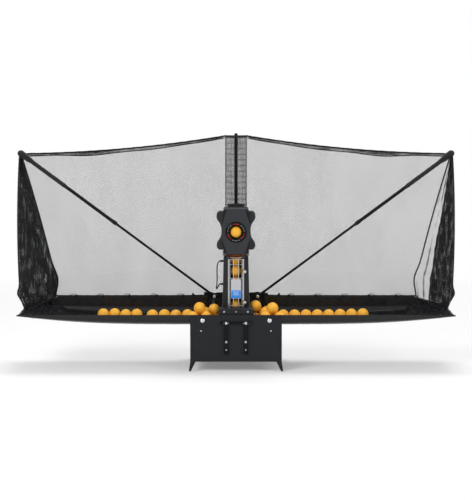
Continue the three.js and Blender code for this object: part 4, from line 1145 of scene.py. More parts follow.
@dataclass
class Tower(Assembly):
    """The ball channel, the casing behind it, the column and the drive box."""

    foot: float = 141.3
    top: float = 378.0
    front: float = -56.0
    split: float = 10.0
    half_foot: float = 47.0
    half_top: float = 42.0
    rear_foot: float = 86.0
    rear_top: float = 74.0
    slot_half: float = 23.0
    slot_back: float = -9.7
    chamfer: float = 9.0
    column_top: float = 488.0
    grommets: Tuple[Pair, Pair] = ((-38.0, 366.0), (44.0, 276.0))
    knob_y: float = 56.0
    knob_z: float = 499.0

    def half(self, z: float) -> float:
        """Half width of the tower at a height."""
        return mix(self.half_foot, self.half_top, min(1.0, (z - 141) / (self.top - 141)))

    def rear(self, z: float) -> float:
        """Where the casing's back is at a height."""
        return mix(self.rear_foot, self.rear_top, min(1.0, (z - 141) / (self.top - 141)))

    def build(self) -> None:
        """Builds the four housings and what is fixed on them."""
        self.channel()
        self.casing()
        self.column()
        self.knob()
        self.side_strips()

    def side_strips(self) -> None:
        """Flat strips and a bright corner line along the tower's sides."""
        strips, lines = Shell(), Shell()
        section = ((-0.4, 22), (0.7, 22), (0.7, 38), (-0.4, 38))
        for ends in ((150, 284), (295, 372)):
            strips.join(skin([[(self.half(z) + x, y, z) for x, y in section] for z in ends]).twice())
        for y in (-20.0, -44.0):
            lines.join(tube([(self.half(z) - 0.1, y, z) for z in (152, 370)], 0.8).twice())
        self.shop.piece("tower_side_strips", strips, Look.FACE, slot="tower_plastic", edge=0.5)
        self.shop.piece("tower_side_lines", lines, Look.STEEL)

    def channel(self) -> None:
        """The front column with its open ball channel, its rails and the upper grommet."""
        rings = []
        for z in (self.foot, self.top):
            h = self.half(z)
            right = [(self.slot_half, self.slot_back), (self.slot_half, self.front), (h - 3, self.front),
                     (h, self.front + 3), (h, self.split - GAP), (h - GAP, self.split)]
            rings.append([(x, y, z) for x, y in both(right)])
        self.shop.piece("tower_channel_moulding", skin(rings), Look.TOWER, stands_for="tower_channel",
                        edge=1.2, segments=3)
        rails = Shell()
        for x, y in ((self.slot_half - 1.4, -38), (self.slot_half + 3.4, self.front)):
            rails.join(tube([(x, y, 150), (x, y, 370)], 0.9).twice())
        self.shop.piece("tower_channel_rails", rails.join(self.grommet(0)), Look.TOWER)

    def grommet(self, number: int) -> Shell:
        """The upper or lower grommet of the signal cable."""
        y, z = self.grommets[number]
        return rod(4, 42, 50, (0, y, z), Axis.X, 20, 0.6).on(Side.LEFT)

    def ring(self, z: float, front: float, rear: float, inset: float = 0.0) -> Ring:
        """The casing's or column's outline at a height, with rounded rear corners.

        Args:
            z: the height.
            front: its front.
            rear: its back.
            inset: how far its sides are moved inwards.

        Returns:
            A closed ring.
        """
        h, r = self.half(z) - inset, self.chamfer
        arc = [(h - r + r * c, rear - r + r * s) for c, s in fan(0, 22.5, 5)]
        return [(x, y, z) for x, y in both([(h, front), *arc])]

    def casing(self) -> None:
        """The rear casing with its parting groove, louvres, screws and the lower grommet."""
        levels = [(self.foot, 0), (286.5, 0), (288, 1.5), (291, 1.5), (292.5, 0), (self.top, 0)]
        shell = skin([self.ring(z, self.split + GAP, self.rear(z) - inset, inset) for z, inset in levels])
        slots = [box((-22, 22), (self.rear(z) - 2, self.rear(z) + 4), (z, z + 3.2))
                 for z in range(176, 217, 8)]
        self.shop.piece("tower_casing_moulding", shell, Look.TOWER, stands_for="tower_casing", edge=1.0,
                        cutters=[Shell().join(*slots)])
        self.shop.piece("cable_grommet_casing", self.grommet(1), Look.CABLE, slot="tower_plastic")
        screws = [screw((28, self.rear(z), z), Axis.Y, 1) for z in (160, 352)]
        screws += [screw((self.half(z), y, z), Axis.X, 1, 3.0, 1.5) for y, z in ((30, 170), (60, 360))]
        self.shop.piece("tower_screws", Shell().join(*screws).twice(), *METAL)

    def column(self) -> None:
        """The column behind the head, and the drive box on it with its lid line and screws."""
        rings = [self.ring(z, 34, self.rear_top) for z in (self.top + GAP, self.column_top)]
        self.shop.piece("tower_column_moulding", skin(rings), Look.TOWER, stands_for="tower_column", edge=1.4,
                        segments=3)
        ribs = [box((-36, 36), (32.8, 34.4), (z, z + 3)) for z in (396, 470)]
        self.shop.piece("tower_column_ribs", Shell().join(*ribs), Look.TOWER, edge=0.5)
        outline = rounded((-30, 30), (40, 68), 5)
        levels = [(self.column_top + GAP, 0), (536, 0), (536.4, 0.8), (538, 0.8), (538.4, 0), (554.3, 0)]
        rings = [[(x * (30 - inset) / 30, 54 + (y - 54) * (14 - inset) / 14, z) for x, y in outline]
                 for z, inset in levels]
        self.shop.piece("drive_box_moulding", skin(rings), Look.COVER, stands_for="drive_box", edge=0.9)
        self.shop.piece("drive_box_screws", screw((22, 54, 554.3), Axis.Z, 1, 2.8, 1.4).twice(), *METAL)

    @staticmethod
    def square_flute(radius: float, along: float, angle: float) -> float:
        """A fluted radius that is a little square."""
        square = 1 / (abs(cos(angle)) ** 5 + abs(sin(angle)) ** 5) ** 0.2
        return radius * square * (1 - 0.035 * (1 + cos(angle * 24)) / 2)

    def knob(self) -> None:
        """The clear knob that adjusts the head's height."""
        centre = (0, self.knob_y, self.knob_z)
        grip = [(6.0, -61.3), (7.1, -60.4), (7.5, -59.4), (7.5, -48.2), (7.1, -47.2), (6.0, -46.3)]
        shell = skin(rings_of(grip, Axis.X, 72, centre, self.square_flute))
        shell.join(rod(2.6, -47, -30.3, centre, Axis.X, 20, 0.3, finish=1))
        shell.join(screw((-61.3, *centre[1:]), Axis.X, -1, 2.4, 0.01, finish=1, hollow=2))
        self.shop.piece("adjusting_knob_fluted", shell, Look.CLEAR, *METAL, body="adjusting_knob",
                        stands_for="adjusting_knob", sharp=60)


@dataclass
class Cage(Assembly):
    """The chrome cage over the channel, its thumb knobs, the label and the balls behind it."""

    y: float = -57.4
    wire: float = 1.1
    low: float = 189.1
    high: float = 373.9
    outer: float = 25.4
    knobs: Pair = (228.0, 334.0)
    knob_x: float = 29.5
    lowest_ball: float = 210.8
    ball_step: float = 40.3

    def build(self) -> None:
        """Builds the wires, the rails, the label, the knobs and the balls."""
        paths = [[(x, self.low), (x, self.high)] for x in (-21, -8.5, 8.5, 21)]
        paths += [[(-self.outer, z), (self.outer, z)] for z in (215, 262, 309, 356)]
        frame = rounded((-self.outer, self.outer), (self.low, self.high), 4.5)
        shell = tube([(x, self.y, z) for x, z in frame], self.wire, 12, closed=True)
        shell.join(*[tube([(x, self.y, z) for x, z in path], self.wire, 12) for path in paths])
        self.shop.piece("wire_cage_chrome", shell, Look.CHROME, stands_for="wire_cage")
        rail = rounded((23.4, 27.6), (self.y - 0.8, self.y + 0.9), 0.6, 3)
        rails = prism(rail, self.low - 6, self.high + 2, Axis.Z).twice()
        self.shop.piece("cage_side_rails", rails, Look.STEEL, slot="chrome", sharp=50)
        back = self.y - self.wire - GAP
        self.label(back)
        for word, z in zip(("lower", "upper"), self.knobs):
            self.thumb_knob(word, z, back)
        for number in range(1, 6):
            z = self.lowest_ball + (number - 1) * self.ball_step
            self.shop.piece(f"channel_ball_round_{number}", ball((0, CHANNEL_Y, z), 17 + 47 * number), *BALLS,
                            stands_for=f"channel_ball_{number}")

    def label(self, back: float) -> None:
        """The label plate: grey above, blue below, with bare fields.

        Args:
            back: where its back lies.
        """
        plate = prism(rounded((-17, 17), (240, 306), 4), back - 1.5, back, Axis.Y)
        self.shop.piece("label_plate_grey", plate, Look.GREY, stands_for="label_plate", edge=0.3)
        blue = prism(rounded((-16.2, 16.2), (240.8, 268), 3.4), back - 1.62, back - 1.4, Axis.Y)
        self.shop.piece("label_field_blue", blue, Look.BLUE)
        lines = [box((-half, half), (back - 1.72, back - 1.55), (z, z + 1.2))
                 for z, half in ((262, 11), (257, 8), (252, 10))]
        self.shop.piece("label_lines", Shell().join(*lines), Look.WHITE)

    @staticmethod
    def flute(radius: float, along: float, angle: float) -> float:
        """A fluted radius."""
        return radius * (1 - 0.05 * (1 + cos(angle * 20)) / 2)

    def thumb_knob(self, word: str, z: float, start: float) -> None:
        """A thumb knob: a dark amber hub with flutes and a pearl cap.

        Args:
            word: its word in the names.
            z: its height.
            start: where its hub begins.
        """
        centre = (self.knob_x, start, z)
        hub = [(6.0, 0), (6.5, -0.6), (6.5, -12.4), (6.0, -13)]
        cap = [(0, -22), (3.2, -21.8), (4.9, -21), (5.5, -19), (5.5, -14), (4.8, -12.9), (0, -12.9)]
        shell = skin(rings_of(hub, Axis.Y, 60, centre, self.flute)).join(lathe(cap, centre, Axis.Y, 32, 1))
        shell.join(rod(2.5, -1, -56.3 - start, centre, Axis.Y, 16, 0.2, finish=2))
        name = f"thumb_knob_{word}"
        self.shop.piece(f"thumb_knob_fluted_{word}", shell, Look.KNOB, Look.PEARL, Look.CHROME, body=name,
                        stands_for=name, sharp=50)


@dataclass
class Yoke(Assembly):
    """The steel yoke that pans the head, and the amber funnel on it."""

    bottom: float = 378.3
    sheet: float = 3.0
    top: float = 486.0
    half: float = 45.5
    bore: float = 23.5
    ring: float = 31.0
    rear: float = 20.0
    tilt_y: float = -26.0

    def build(self) -> None:
        """Builds the yoke, the funnel and the tilt screws."""
        low, high, axle = self.bottom, self.bottom + self.sheet, (0, CHANNEL_Y, 0)
        shell = band(self.bore, self.ring, low, high, axle, Axis.Z, 48)
        shell.join(box((self.ring, -self.ring), (self.rear, -2), (low, high)),
                   box((self.bore, self.ring), (CHANNEL_Y, -2), (low, high)).twice(),
                   box((-self.half, self.half), (self.rear - self.sheet, self.rear), (low, self.top)))
        arm = [(self.rear, 461), (self.rear, self.top), (-29, self.top), (-35, 480), (-35, 466), (-30, 461)]
        shell.join(prism(arm, self.half - self.sheet, self.half, Axis.X).twice())
        self.shop.piece("pan_yoke_pressed", shell, Look.STEEL, body="pan", stands_for="pan_yoke", edge=0.4)
        cup = [(23.5, 0), (25.5, 0), (29.5, 2), (36, 7.1), (35.7, 7.5), (34.2, 7.5), (28.6, 3), (23.5, 0)]
        funnel = lathe(cup, (0, CHANNEL_Y, high + GAP), Axis.Z, 56)
        self.shop.piece("ball_funnel_amber", funnel, Look.AMBER, body="pan", stands_for="ball_funnel",
                        sharp=50)
        pin = screw((self.half + GAP, self.tilt_y, NOZZLE_Z), Axis.X, 1, 5.5, 3)
        pin.join(rod(3, 36, self.half + 0.5, (0, self.tilt_y, NOZZLE_Z), Axis.X, 20))
        for side in Side:
            self.shop.piece("tilt_screw_head_{}", pin, *METAL, body="pan", stands_for="tilt_screw_{}",
                            side=side)


@dataclass
class Head(Assembly):
    """The throwing head: housing, face plate, side covers, nozzle, wheels and motors.

    A side cover is drawn through (height from the nozzle, outer side, rear edge) at its stations.
    """

    half: float = 42.0
    front: float = -95.7
    face_front: float = -110.0
    ear_front: float = -84.0
    ear_edge: float = 4.5
    stations: Tuple[Point, ...] = (
        (68, 57, -46), (62, 63.5, -44.5), (50, 66, -45), (40, 63, -50), (25, 54, -60), (13, 50, -67),
        (0, 49.5, -70), (-12, 50.5, -66), (-24, 55, -59), (-39, 64, -47), (-49, 65.5, -41), (-58, 62.5, -39),
        (-62, 56, -40))

    def part(self, name: str, shell: Shell, *finishes: Finish, **more: Any) -> None:
        """A piece that moves with the head."""
        self.shop.piece(name, shell, *finishes, body="head", **more)

    def build(self) -> None:
        """Builds the housing and everything on and in it."""
        self.housing()
        self.face_plate()
        self.side_covers()
        self.nozzle()
        self.ring_marks()
        self.shop.dress(Look.GLOSS, 0.0, "nozzle_tube")
        self.part("nozzle_ball", ball((0, -96, NOZZLE_Z), 70), *BALLS)
        self.shop.dress(Look.RUBBER, 0.0, "throwing_wheel_upper", "throwing_wheel_lower")
        self.shop.dress(Look.STEEL, 0.6, "wheel_motor_upper", "wheel_motor_lower")

    def side_outline(self, inset: float) -> List[Pair]:
        """The housing's side outline, with its hollow rear edge.

        Args:
            inset: how far it is moved inwards.

        Returns:
            The outline as (y, z).
        """
        front, top, low = self.front + inset, NOZZLE_Z + 76 - inset, NOZZLE_Z - 74 + inset
        hollow = [(-inset - 64 * t * (1 - t), NOZZLE_Z - 40 + 80 * t) for t in (k / 24 for k in range(25))]
        return [(front, low), (-inset, low), *hollow, (-inset, top), (front, top)]

    def housing(self) -> None:
        """The hollow housing, with vents, the ball's ways in and out, and lid screws."""
        half = self.half
        holes = [prism(self.side_outline(3), 3 - half, half - 3, Axis.X),
                 rod(23.5, 394, 404, (0, CHANNEL_Y, 0), Axis.Z, 48, 0),
                 rod(25.3, self.front - 2, self.front + 5, (0, 0, NOZZLE_Z), Axis.Y, 48, 0),
                 rod(3.3, -50, 50, (0, -26, NOZZLE_Z), Axis.X, 20, 0)]
        vents = [rod(1.9, -50, 50, (0, -41 - 6.5 * column, NOZZLE_Z - 14 - 6.5 * row), Axis.X, 16, 0)
                 for column in range(3) for row in range(3)]
        self.part("head_housing_moulding", prism(self.side_outline(0), -half, half, Axis.X), Look.HOUSING,
                  stands_for="head_housing", edge=2.0, segments=3, sharp=50,
                  cutters=[*holes, Shell().join(*vents)])
        screws = [screw((half, y, z), Axis.X, 1, 2.6, 1.2)
                  for y, z in ((-14, 536), (-86, 541), (-14, 409), (-86, 404))]
        self.part("head_screws", Shell().join(*screws).twice(), Look.GLOSS, Look.SOCKET)

    def face_plate(self) -> None:
        """The six-sided face plate with soft edges and the ring's seat."""
        right = [(29, NOZZLE_Z + 80), (49, NOZZLE_Z + 17), (49, NOZZLE_Z - 17), (29, NOZZLE_Z - 76)]
        hole = rod(33.8, -114, -90, (0, 0, NOZZLE_Z), Axis.Y, 64, 0)
        self.part("head_face_moulding", prism(both(right), self.face_front, -96, Axis.Y), Look.FACE,
                  stands_for="head_face_plate", edge=2.6, segments=4, sharp=25, cutters=[hole])

    def side_covers(self) -> None:
        """The side covers, shaped like half a bow tie."""
        rings = []
        inner, front, e = self.half + GAP, self.ear_front, self.ear_edge
        for height, outer, rear in zip(*(self.smooth(values) for values in zip(*self.stations))):
            corner = fan(0, 22.5, 5)
            points = [(inner, front), *[(outer - e + e * s, front + e - e * c) for c, s in corner],
                      *[(outer - e + e * c, rear - e + e * s) for c, s in corner], (inner, rear)]
            rings.append([(x, y, NOZZLE_Z + height) for x, y in points])
        for side in Side:
            self.part("side_cover_moulding_{}", skin(rings), Look.COVER, stands_for="side_cover_{}",
                      side=side, edge=1.2, segments=3, sharp=50)

    @staticmethod
    def smooth(values: Sequence[float], steps: int = 4) -> List[float]:
        """Values along a smooth curve through the given ones.

        Args:
            values: the given ones.
            steps: from one to the next.

        Returns:
            All values.
        """
        made = []
        last = len(values) - 1
        for i in range(last):
            a, b, c, d = (values[max(0, min(last, i + k))] for k in (-1, 0, 1, 2))
            made += [0.5 * (2 * b + (c - a) * t + (2 * a - 5 * b + 4 * c - d) * t * t
                            + (3 * b - a - 3 * c + d) * t ** 3) for t in (k / steps for k in range(steps))]
        return [*made, values[-1]]

    def nozzle(self) -> None:
        """The gloss ring and the dark line round it."""
        ring = [(22, -96), (22, -109), (22.6, -110.4), (24, -112), (26.5, -112.8), (29.5, -113), (32, -112.4),
                (33.5, -111), (33.5, -96), (22, -96)]
        rim = [(33.0, -111.9), (33.5, -112.3), (34.0, -111.9), (34.1, -110.2), (33.4, -110.2), (33.0, -111.9)]
        centre = (0, 0, NOZZLE_Z)
        self.part("nozzle_ring_gloss", lathe(ring, centre, Axis.Y, 96), Look.GLOSS, stands_for="nozzle_ring",
                  sharp=40)
        self.part("nozzle_rim_line", lathe(rim, centre, Axis.Y, 96), Look.SOCKET, sharp=60)

    @staticmethod
    def mark(start: float, end: float, inner: float, outer: float, finish: int, lean: float = 0.0) -> Shell:
        """A flat mark on the ring.

        Args:
            start: where it begins, in degrees.
            end: where it ends.
            inner: its inner radius.
            outer: its outer radius.
            finish: number of its finish.
            lean: how much narrower its end is, as a share.

        Returns:
            The mark.
        """
        steps = max(2, int(abs(end - start) / 3))
        near, far = [], []
        for k, (c, s) in enumerate(fan(start, (end - start) / steps, steps + 1)):
            less = (outer - inner) / 2 * lean * k / steps
            near.append(((inner + less) * c, NOZZLE_Z + (inner + less) * s))
            far.append(((outer - less) * c, NOZZLE_Z + (outer - less) * s))
        return prism([*near, *reversed(far)], -113.12, -112.6, Axis.Y, finish)

    def ring_marks(self) -> None:
        """Red arcs with arrow heads, and white ticks, raised a hair on the ring."""
        marks = Shell()
        for centre in (90, 210, 330):
            for start in (centre - 24, centre + 24):
                marks.join(self.mark(start, centre + (5 if start > centre else -5), 27.4, 28.6, 0))
            marks.join(self.mark(centre - 5, centre + 5, 26.4, 29.6, 0, 0.98))
        for centre in (30, 150, 270):
            for k in range(-3, 4):
                middle = centre + 7.5 * k
                marks.join(self.mark(middle - 0.8, middle + 0.8, 27.2, 28.6 if k % 3 else 29.6, 1))
        self.part("nozzle_ring_marks", marks, Look.RED, Look.WHITE)


@dataclass
class NetRod(Assembly):
    """A telescopic rod that holds a corner of the net, and the fork that it swings on."""

    side: Side = Side.RIGHT
    pivot: Point = (75.0, 50.0, 232.0)
    tip: Point = (750.0, 50.0, 735.0)
    lower_length: float = 470.0
    lower_radius: float = 4.2
    upper_length: float = 420.0
    bore: float = 5.2
    pocket_foot: float = 205.0
    pocket_top: float = 14.0
    wrap: float = 58.0
    ear: Pair = (5.3, 8.3)
    ear_radius: float = 7.0
    foot: float = 141.3
    shoulder: float = 220.5

    @property
    def total(self) -> float:
        """Length from the pivot to the tip."""
        return hypot(self.tip[0] - self.pivot[0], self.tip[2] - self.pivot[2])

    def part(self, name: str, which: str, shell: Shell, finish: Finish, **more: Any) -> None:
        """A piece of the lower or upper rod, drawn along X from the pivot.

        Args:
            name: of the piece.
            which: lower or upper.
            shell: its points and faces.
            finish: its finish.
            more: what Workshop.piece() takes besides.
        """
        lean = atan2(self.tip[2] - self.pivot[2], self.tip[0] - self.pivot[0])
        place = Matrix.Translation(Vector(self.pivot)) @ Matrix.Rotation(-lean, 4, "Y")
        self.shop.piece(name + "_{}", shell.turned(place), finish, body=f"net_rod_{which}_{{}}",
                        side=self.side, **more)

    def build(self) -> None:
        """Builds both rods, the net's sleeve on the upper one, and the fork."""
        zero, total, start = (0, 0, 0), self.total, self.total - self.upper_length
        eye = [(2.8, -5), (6.6, -5), (7, -4.6), (7, 4.6), (6.6, 5), (2.8, 5), (2.8, -5)]
        lower = rod(self.lower_radius, 5, self.lower_length, zero, Axis.X, 24, 0.6)
        lower.join(lathe(eye, zero, Axis.Y, 28))
        self.part("net_rod_lower_round", "lower", lower, Look.ROD, stands_for="net_rod_lower_{}")
        collar = [(4.5, 0), (6.7, 0), (7.2, 0.8), (7.2, 6), (6.8, 6.6), (6.8, 9), (7.2, 9.6), (7.2, 17),
                  (6.8, 18), (5.9, 21)]
        cap = [(5.9, 16), (7, 13), (7.6, 8), (7, 3), (5, 0.8), (0, 0)]
        outer = [*[(r, start + at) for r, at in collar], *[(r, total - at) for r, at in cap]]
        upper = lathe(outer, zero, Axis.X, 28)
        upper.join(lathe([(4.5, start), (4.5, total - 12), (0, total - 12)], zero, Axis.X, 28))
        self.part("net_rod_upper_round", "upper", upper, Look.ROD, stands_for="net_rod_upper_{}")
        self.pocket()
        self.fork()

    def hollow(self, low: float, high: float) -> List[Pair]:
        """A profile's inner end, which leaves the lower rod room to slide inside."""
        return [(0.4, high), (self.bore, high), (self.bore, low)]

    def pocket(self) -> None:
        """The net's cloth pocket on the rod's upper end, its corner lump and its ties."""
        low, high = self.total - self.pocket_foot, self.total - self.pocket_top

        def wrinkle(radius: float, x: float, angle: float) -> float:
            """The pocket's wrinkled radius."""
            return radius + 0.45 * sin(x * 0.42 + 3 * cos(angle)) + 0.35 * sin(x * 0.95 + 2 * angle)

        def crease(radius: float, x: float, angle: float) -> float:
            """The lump's creased radius."""
            along = x - self.total
            folds = 0.6 * sin(3 * angle + along * 0.3) + 0.4 * sin(7 * angle - along * 0.5)
            return radius * (1 + 0.06 * folds)

        places = [mix(low, high, k / 80) for k in range(81)]
        outer = [(7.3 - 0.8 * max(0.0, 1 - (x - low) / 12), x) for x in places]
        rings = rings_of(self.hollow(low, high - 6), Axis.X, 24)
        rings += rings_of(outer, Axis.X, 24, swell=wrinkle)
        self.part("net_pocket", "upper", skin(rings), Look.BRAID, sharp=80)
        lump = [(7.6, -self.wrap), (9.0, -52), (9.8, -42), (11.2, -32), (12.0, -22), (12.2, -14), (11.0, -8),
                (8.6, -4), (5.0, -1.5), (1.5, -0.4)]
        rings = rings_of(self.hollow(self.total - self.wrap, high), Axis.X, 28)
        rings += rings_of([(r, self.total + at) for r, at in lump], Axis.X, 28, swell=crease)
        self.part("net_corner_wrap", "upper", skin(rings), Look.HEM, sharp=80)
        ties = [tube([(x, 7.7 * c, 7.7 * s) for c, s in circle(24)], 0.9, closed=True)
                for x in (low + 6, low + 14, high - 12)]
        self.part("net_pocket_ties", "upper", Shell().join(*ties), Look.BRAID)

    def fork(self) -> None:
        """The socket post with its two ears, and the bright pivot screw."""
        x, y, z = self.pivot
        foot, top = self.foot, self.shoulder
        post = [(0, foot), (10.5, foot), (10.5, foot + 3), (9, foot + 4), (9, top - 1), (8.2, top), (0, top)]
        shell = lathe(post, (x, y, 0), Axis.Z, 32)
        pin = rod(2.5, y - 8.2, y + 8.2, (x, 0, z), Axis.Y, 20, 0.2)
        r = self.ear_radius
        ear = [*[(x + r * c, z + r * s) for c, s in fan(0, 11.25, 17)], (x - r, top - 3), (x + r, top - 3)]
        for towards in (-1, 1):
            near, far = sorted(towards * at for at in self.ear)
            shell.join(prism(ear, y + near, y + far, Axis.Y))
            pin.join(screw((x, y + towards * 8.2, z), Axis.Y, towards, 5.4, 2.6))
        self.shop.piece("rod_socket_forked_{}", shell, Look.BASE, stands_for="rod_socket_{}", side=self.side,
                        edge=0.5, sharp=50)
        self.shop.piece("rod_pivot_screw_{}", pin, *METAL, side=self.side)


@dataclass
class CatchNet(Assembly):
    """The catch net: two back panels, two gathered side panels, the heaps and the sleeve on the post."""

    top_inner: float = 789.0
    top_outer: float = 729.0
    bottom: float = 222.3
    sleeve_foot: float = 234.0
    inner: Pair = (35.3, 101.0)
    outer_foot: Pair = (620.0, 116.5)
    outer_top: Pair = (742.0, 59.1)
    bow: float = 6.0
    sag: float = 14.0
    slack: float = 60.0
    front_foot: Point = (735.0, -40.0, 194.0)
    front_top: Point = (743.0, 36.0, 722.0)
    post_y: float = 100.0
    sleeve_half: float = 35.7
    sleeve_front: float = 91.0
    sleeve_curve: float = 10.0
    heap_x: Pair = (590.0, 737.0)
    heap_y: Pair = (-103.0, 111.0)
    heap_top: float = 226.0
    open_columns: int = 26
    keep: float = 0.042

    def outer_edge(self, v: float) -> Vector:
        """A point on a back panel's outer edge."""
        x = mix(self.outer_foot[0], self.outer_top[0], v) - self.bow * 4 * v * (1 - v)
        x += 12 * bell(v, 0, 0.06) - 8 * bell(v, 0.14, 0.07)
        return Vector((x, mix(self.outer_foot[1], self.outer_top[1], v), mix(self.bottom, self.top_outer, v)))

    def back_point(self, u: float, v: float) -> Vector:
        """A point of a back panel.

        Args:
            u: from the post outwards, 0 to 1.
            v: upwards, 0 to 1.

        Returns:
            The point in millimetres.
        """
        ease = 1 - (1 - u) ** 12
        x = mix(self.inner[0], self.outer_edge(v).x, u)
        y = mix(mix(self.inner[1], self.outer_foot[1], ease), mix(self.inner[1], self.outer_top[1], u), v)
        z = mix(mix(self.sleeve_foot, self.bottom, ease), mix(self.top_inner, self.top_outer, u), v)
        return Vector((x, y, z - self.sag * v * 4 * u * (1 - u)))

    def side_point(self, u: float, v: float) -> Vector:
        """A point of a side panel.

        Args:
            u: from the rear edge forwards, 0 to 1.
            v: upwards, 0 to 1.

        Returns:
            The point in millimetres.
        """
        share = 1 - 8 / (self.top_outer - self.bottom)
        start = self.outer_edge(v * share) - Vector((0, 1.1, 0))
        end = Vector(self.front_foot).lerp(Vector(self.front_top), v)
        end.x += 9 * sin(pi * v) ** 0.8 + 9 * bell(v, 0.11, 0.035)
        end.x = min(end.x - 12 * bell(v, 0, 0.07), 750.0)
        return start.lerp(end, u)

    def build(self) -> None:
        """Builds the post, the panels, their hems, the heaps and the sleeve."""
        self.post()
        for side in Side:
            self.back(side)
            self.side_panel(side)
            self.heap(side)
        self.sleeve()

    def post(self) -> None:
        """The centre post and its socket."""
        centre = (0, self.post_y, 0)
        post = [(0, 144.6), (6, 144.6), (6, 470), (6, 700), (6, 788), (6, 792), (4.8, 795.2), (0, 796)]
        self.shop.piece("net_post_round", lathe(post, centre, Axis.Z, 28), Look.ROD, stands_for="net_post")
        ring = [(6.3, 144.3), (6.3, 226), (9.4, 226), (10, 225), (10, 218), (9.4, 217.4), (9.4, 150),
                (12, 148.5), (12, 141.3), (6.3, 141.3), (6.3, 144.3)]
        self.shop.piece("post_socket_turned", lathe(ring, centre, Axis.Z, 32), Look.BASE,
                        stands_for="post_socket", sharp=40)

    def cloth(self, name: str, place: Callable[[float, float], Vector], cells: Tuple[int, int], size: Pair,
              finish: Finish, side: Side, stands_for: str = "") -> Piece:
        """A single sheet of net with its own lengths in metres.

        Args:
            name: of the piece.
            place: gives the point in millimetres at (u, v) on the right side.
            cells: how many along u and v.
            size: the cloth's own width and height in millimetres.
            finish: its material.
            side: the side of the robot that it is on.
            stands_for: the solid that it takes the place of.

        Returns:
            The sheet.
        """
        columns, rows = cells
        points, lengths = [], []
        for u, v in ((i / columns, j / rows) for i in range(columns + 1) for j in range(rows + 1)):
            x, y, z = place(u, v)
            points.append((side.value * x, y, z))
            lengths.append((u * size[0] * MM, v * size[1] * MM))
        step = rows + 1
        faces = [(i * step + j, (i + 1) * step + j, (i + 1) * step + j + 1, i * step + j + 1)
                 for i in range(columns) for j in range(rows)]
        sheet = self.shop.mesh(name, Shell(points, faces, [0] * len(faces)), [finish], closed=False)
        layer = sheet.data.uv_layers.new(name="Cloth")
        for loop in sheet.data.loops:
            layer.data[loop.index].uv = lengths[loop.vertex_index]
        sheet.data.polygons.foreach_set("use_smooth", [True] * len(faces))
        self.shop.mount(sheet, "base", NYLON, stands_for)
        return sheet

    def hem(self, name: str, path: Sequence[Vector], width: float, side: Side, depth: float = 1.2) -> Piece:
        """A folded cloth edge along a path.

        Args:
            name: of the piece.
            path: its middle line on the right side, in millimetres.
            width: how tall it is.
            side: the side of the robot that it is on.
            depth: how thick it is.

        Returns:
            The hem.
        """
        rings = []
        section = ((-1, -0.6), (-0.6, -1), (0.6, -1), (1, -0.6), (1, 0.6), (0.6, 1), (-0.6, 1), (-1, 0.6))
        for i, point in enumerate(path):
            head = (path[min(len(path) - 1, i + 1)] - path[max(0, i - 1)]).normalized()
            normal = head.cross(Vector((0, 1, 0)))
            normal = normal.normalized() if normal.length > 0.2 else Vector((1, 0, 0))
            thick = head.cross(normal).normalized()
            rings.append([point + normal * (a * width / 2 * (1 + 0.12 * sin(i * 1.9 + a)))
                          + thick * (b * depth / 2) for a, b in section])
        return self.shop.piece(name, skin(rings), Look.HEM, side=side, sharp=70)

    def flatten(self, side: Side, *pieces: Piece, towards: float = 35.3) -> None:
        """Gives each piece its own copy of its mesh.

        Args:
            side: not used.
            pieces: the pieces.
            towards: not used.
        """
        for piece in pieces:
            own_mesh(piece)

    def back(self, side: Side) -> None:
        """A back panel with its hems and edge loops.

        Args:
            side: the side of the robot that it is on.
        """
        def hung(u: float, v: float) -> Vector:
            """A point of the panel in soft waves."""
            wave = 1.2 * sin(11 * u + 5 * v) + 0.8 * sin(23 * v - 7 * u)
            return self.back_point(u, v) + Vector((0, sin(pi * u) * sin(pi * v) * wave - 0.4, 0))

        word = side.word
        run = self.outer_foot[0] - self.inner[0]
        size = (run + self.slack, self.top_inner - self.bottom - 20)
        sheet = self.cloth(f"net_back_mesh_{word}", hung, (56, 80), size, Look.NET, side, f"net_back_{word}")
        shares = [k / 60 for k in range(61)]
        top = [self.back_point(u, 1) - Vector((0, 0, 2.5)) for u in shares]
        second = [self.back_point(u, 1) - Vector((0, 0.9, self.fold_depth(u, side))) for u in shares]
        low = [self.back_point(u, 0) + Vector((0, 0, 2)) for u in shares[2:]]
        outer = [self.outer_edge(k / 90) for k in range(91)]
        rows = (("top_hem", top, 5.5, 1.2), ("top_seam", second, 2.6, 0.9), ("foot_hem", low, 5, 1.2),
                ("corner_hem", outer, 5, 1.2))
        hems = [self.hem(f"net_{name}_{word}", path, width, side, depth) for name, path, width, depth in rows]
        hems.append(self.fold(side))
        loops = Shell()
        for number in range(6):
            x, y, z = self.back_point(92 * (number + 0.7) / run, 0)
            loops.join(tube([(x + 9 * c, y - 1.4, z + 6.5 * s + 3) for c, s in fan(0, 15, 13)], 1.3),
                       box((x - 11.5, x - 5.5), (y - 2.2, y - 0.6), (z - 3, z + 8)))
        hems.append(self.shop.piece("net_foot_loops_{}", loops, Look.ROD, slot=NYLON, side=side))
        self.flatten(side, sheet, *hems)

    @staticmethod
    def fold_depth(u: float, side: Side) -> float:
        """How far the doubled band reaches below the net's top edge."""
        heavy = 1.0 if side is Side.LEFT else 1.25
        return 9 + heavy * (7 * bell(u, 0.62, 0.22) + 4 * bell(u, 0.25, 0.12) + 1.4 * sin(21 * u))

    def fold(self, side: Side) -> Piece:
        """The doubled, crumpled band of net along the top edge.

        Args:
            side: the side of the robot that it is on.

        Returns:
            The band.
        """
        def doubled(u: float, v: float) -> Vector:
            """A point of the band."""
            creases = 0.7 * sin(57 * u + 4 * v) + 0.5 * sin(131 * u - 6 * v)
            drop = Vector((0, -1.5 + creases * sin(pi * v), -v * self.fold_depth(u, side)))
            return self.back_point(0.012 + 0.976 * u, 1) + drop

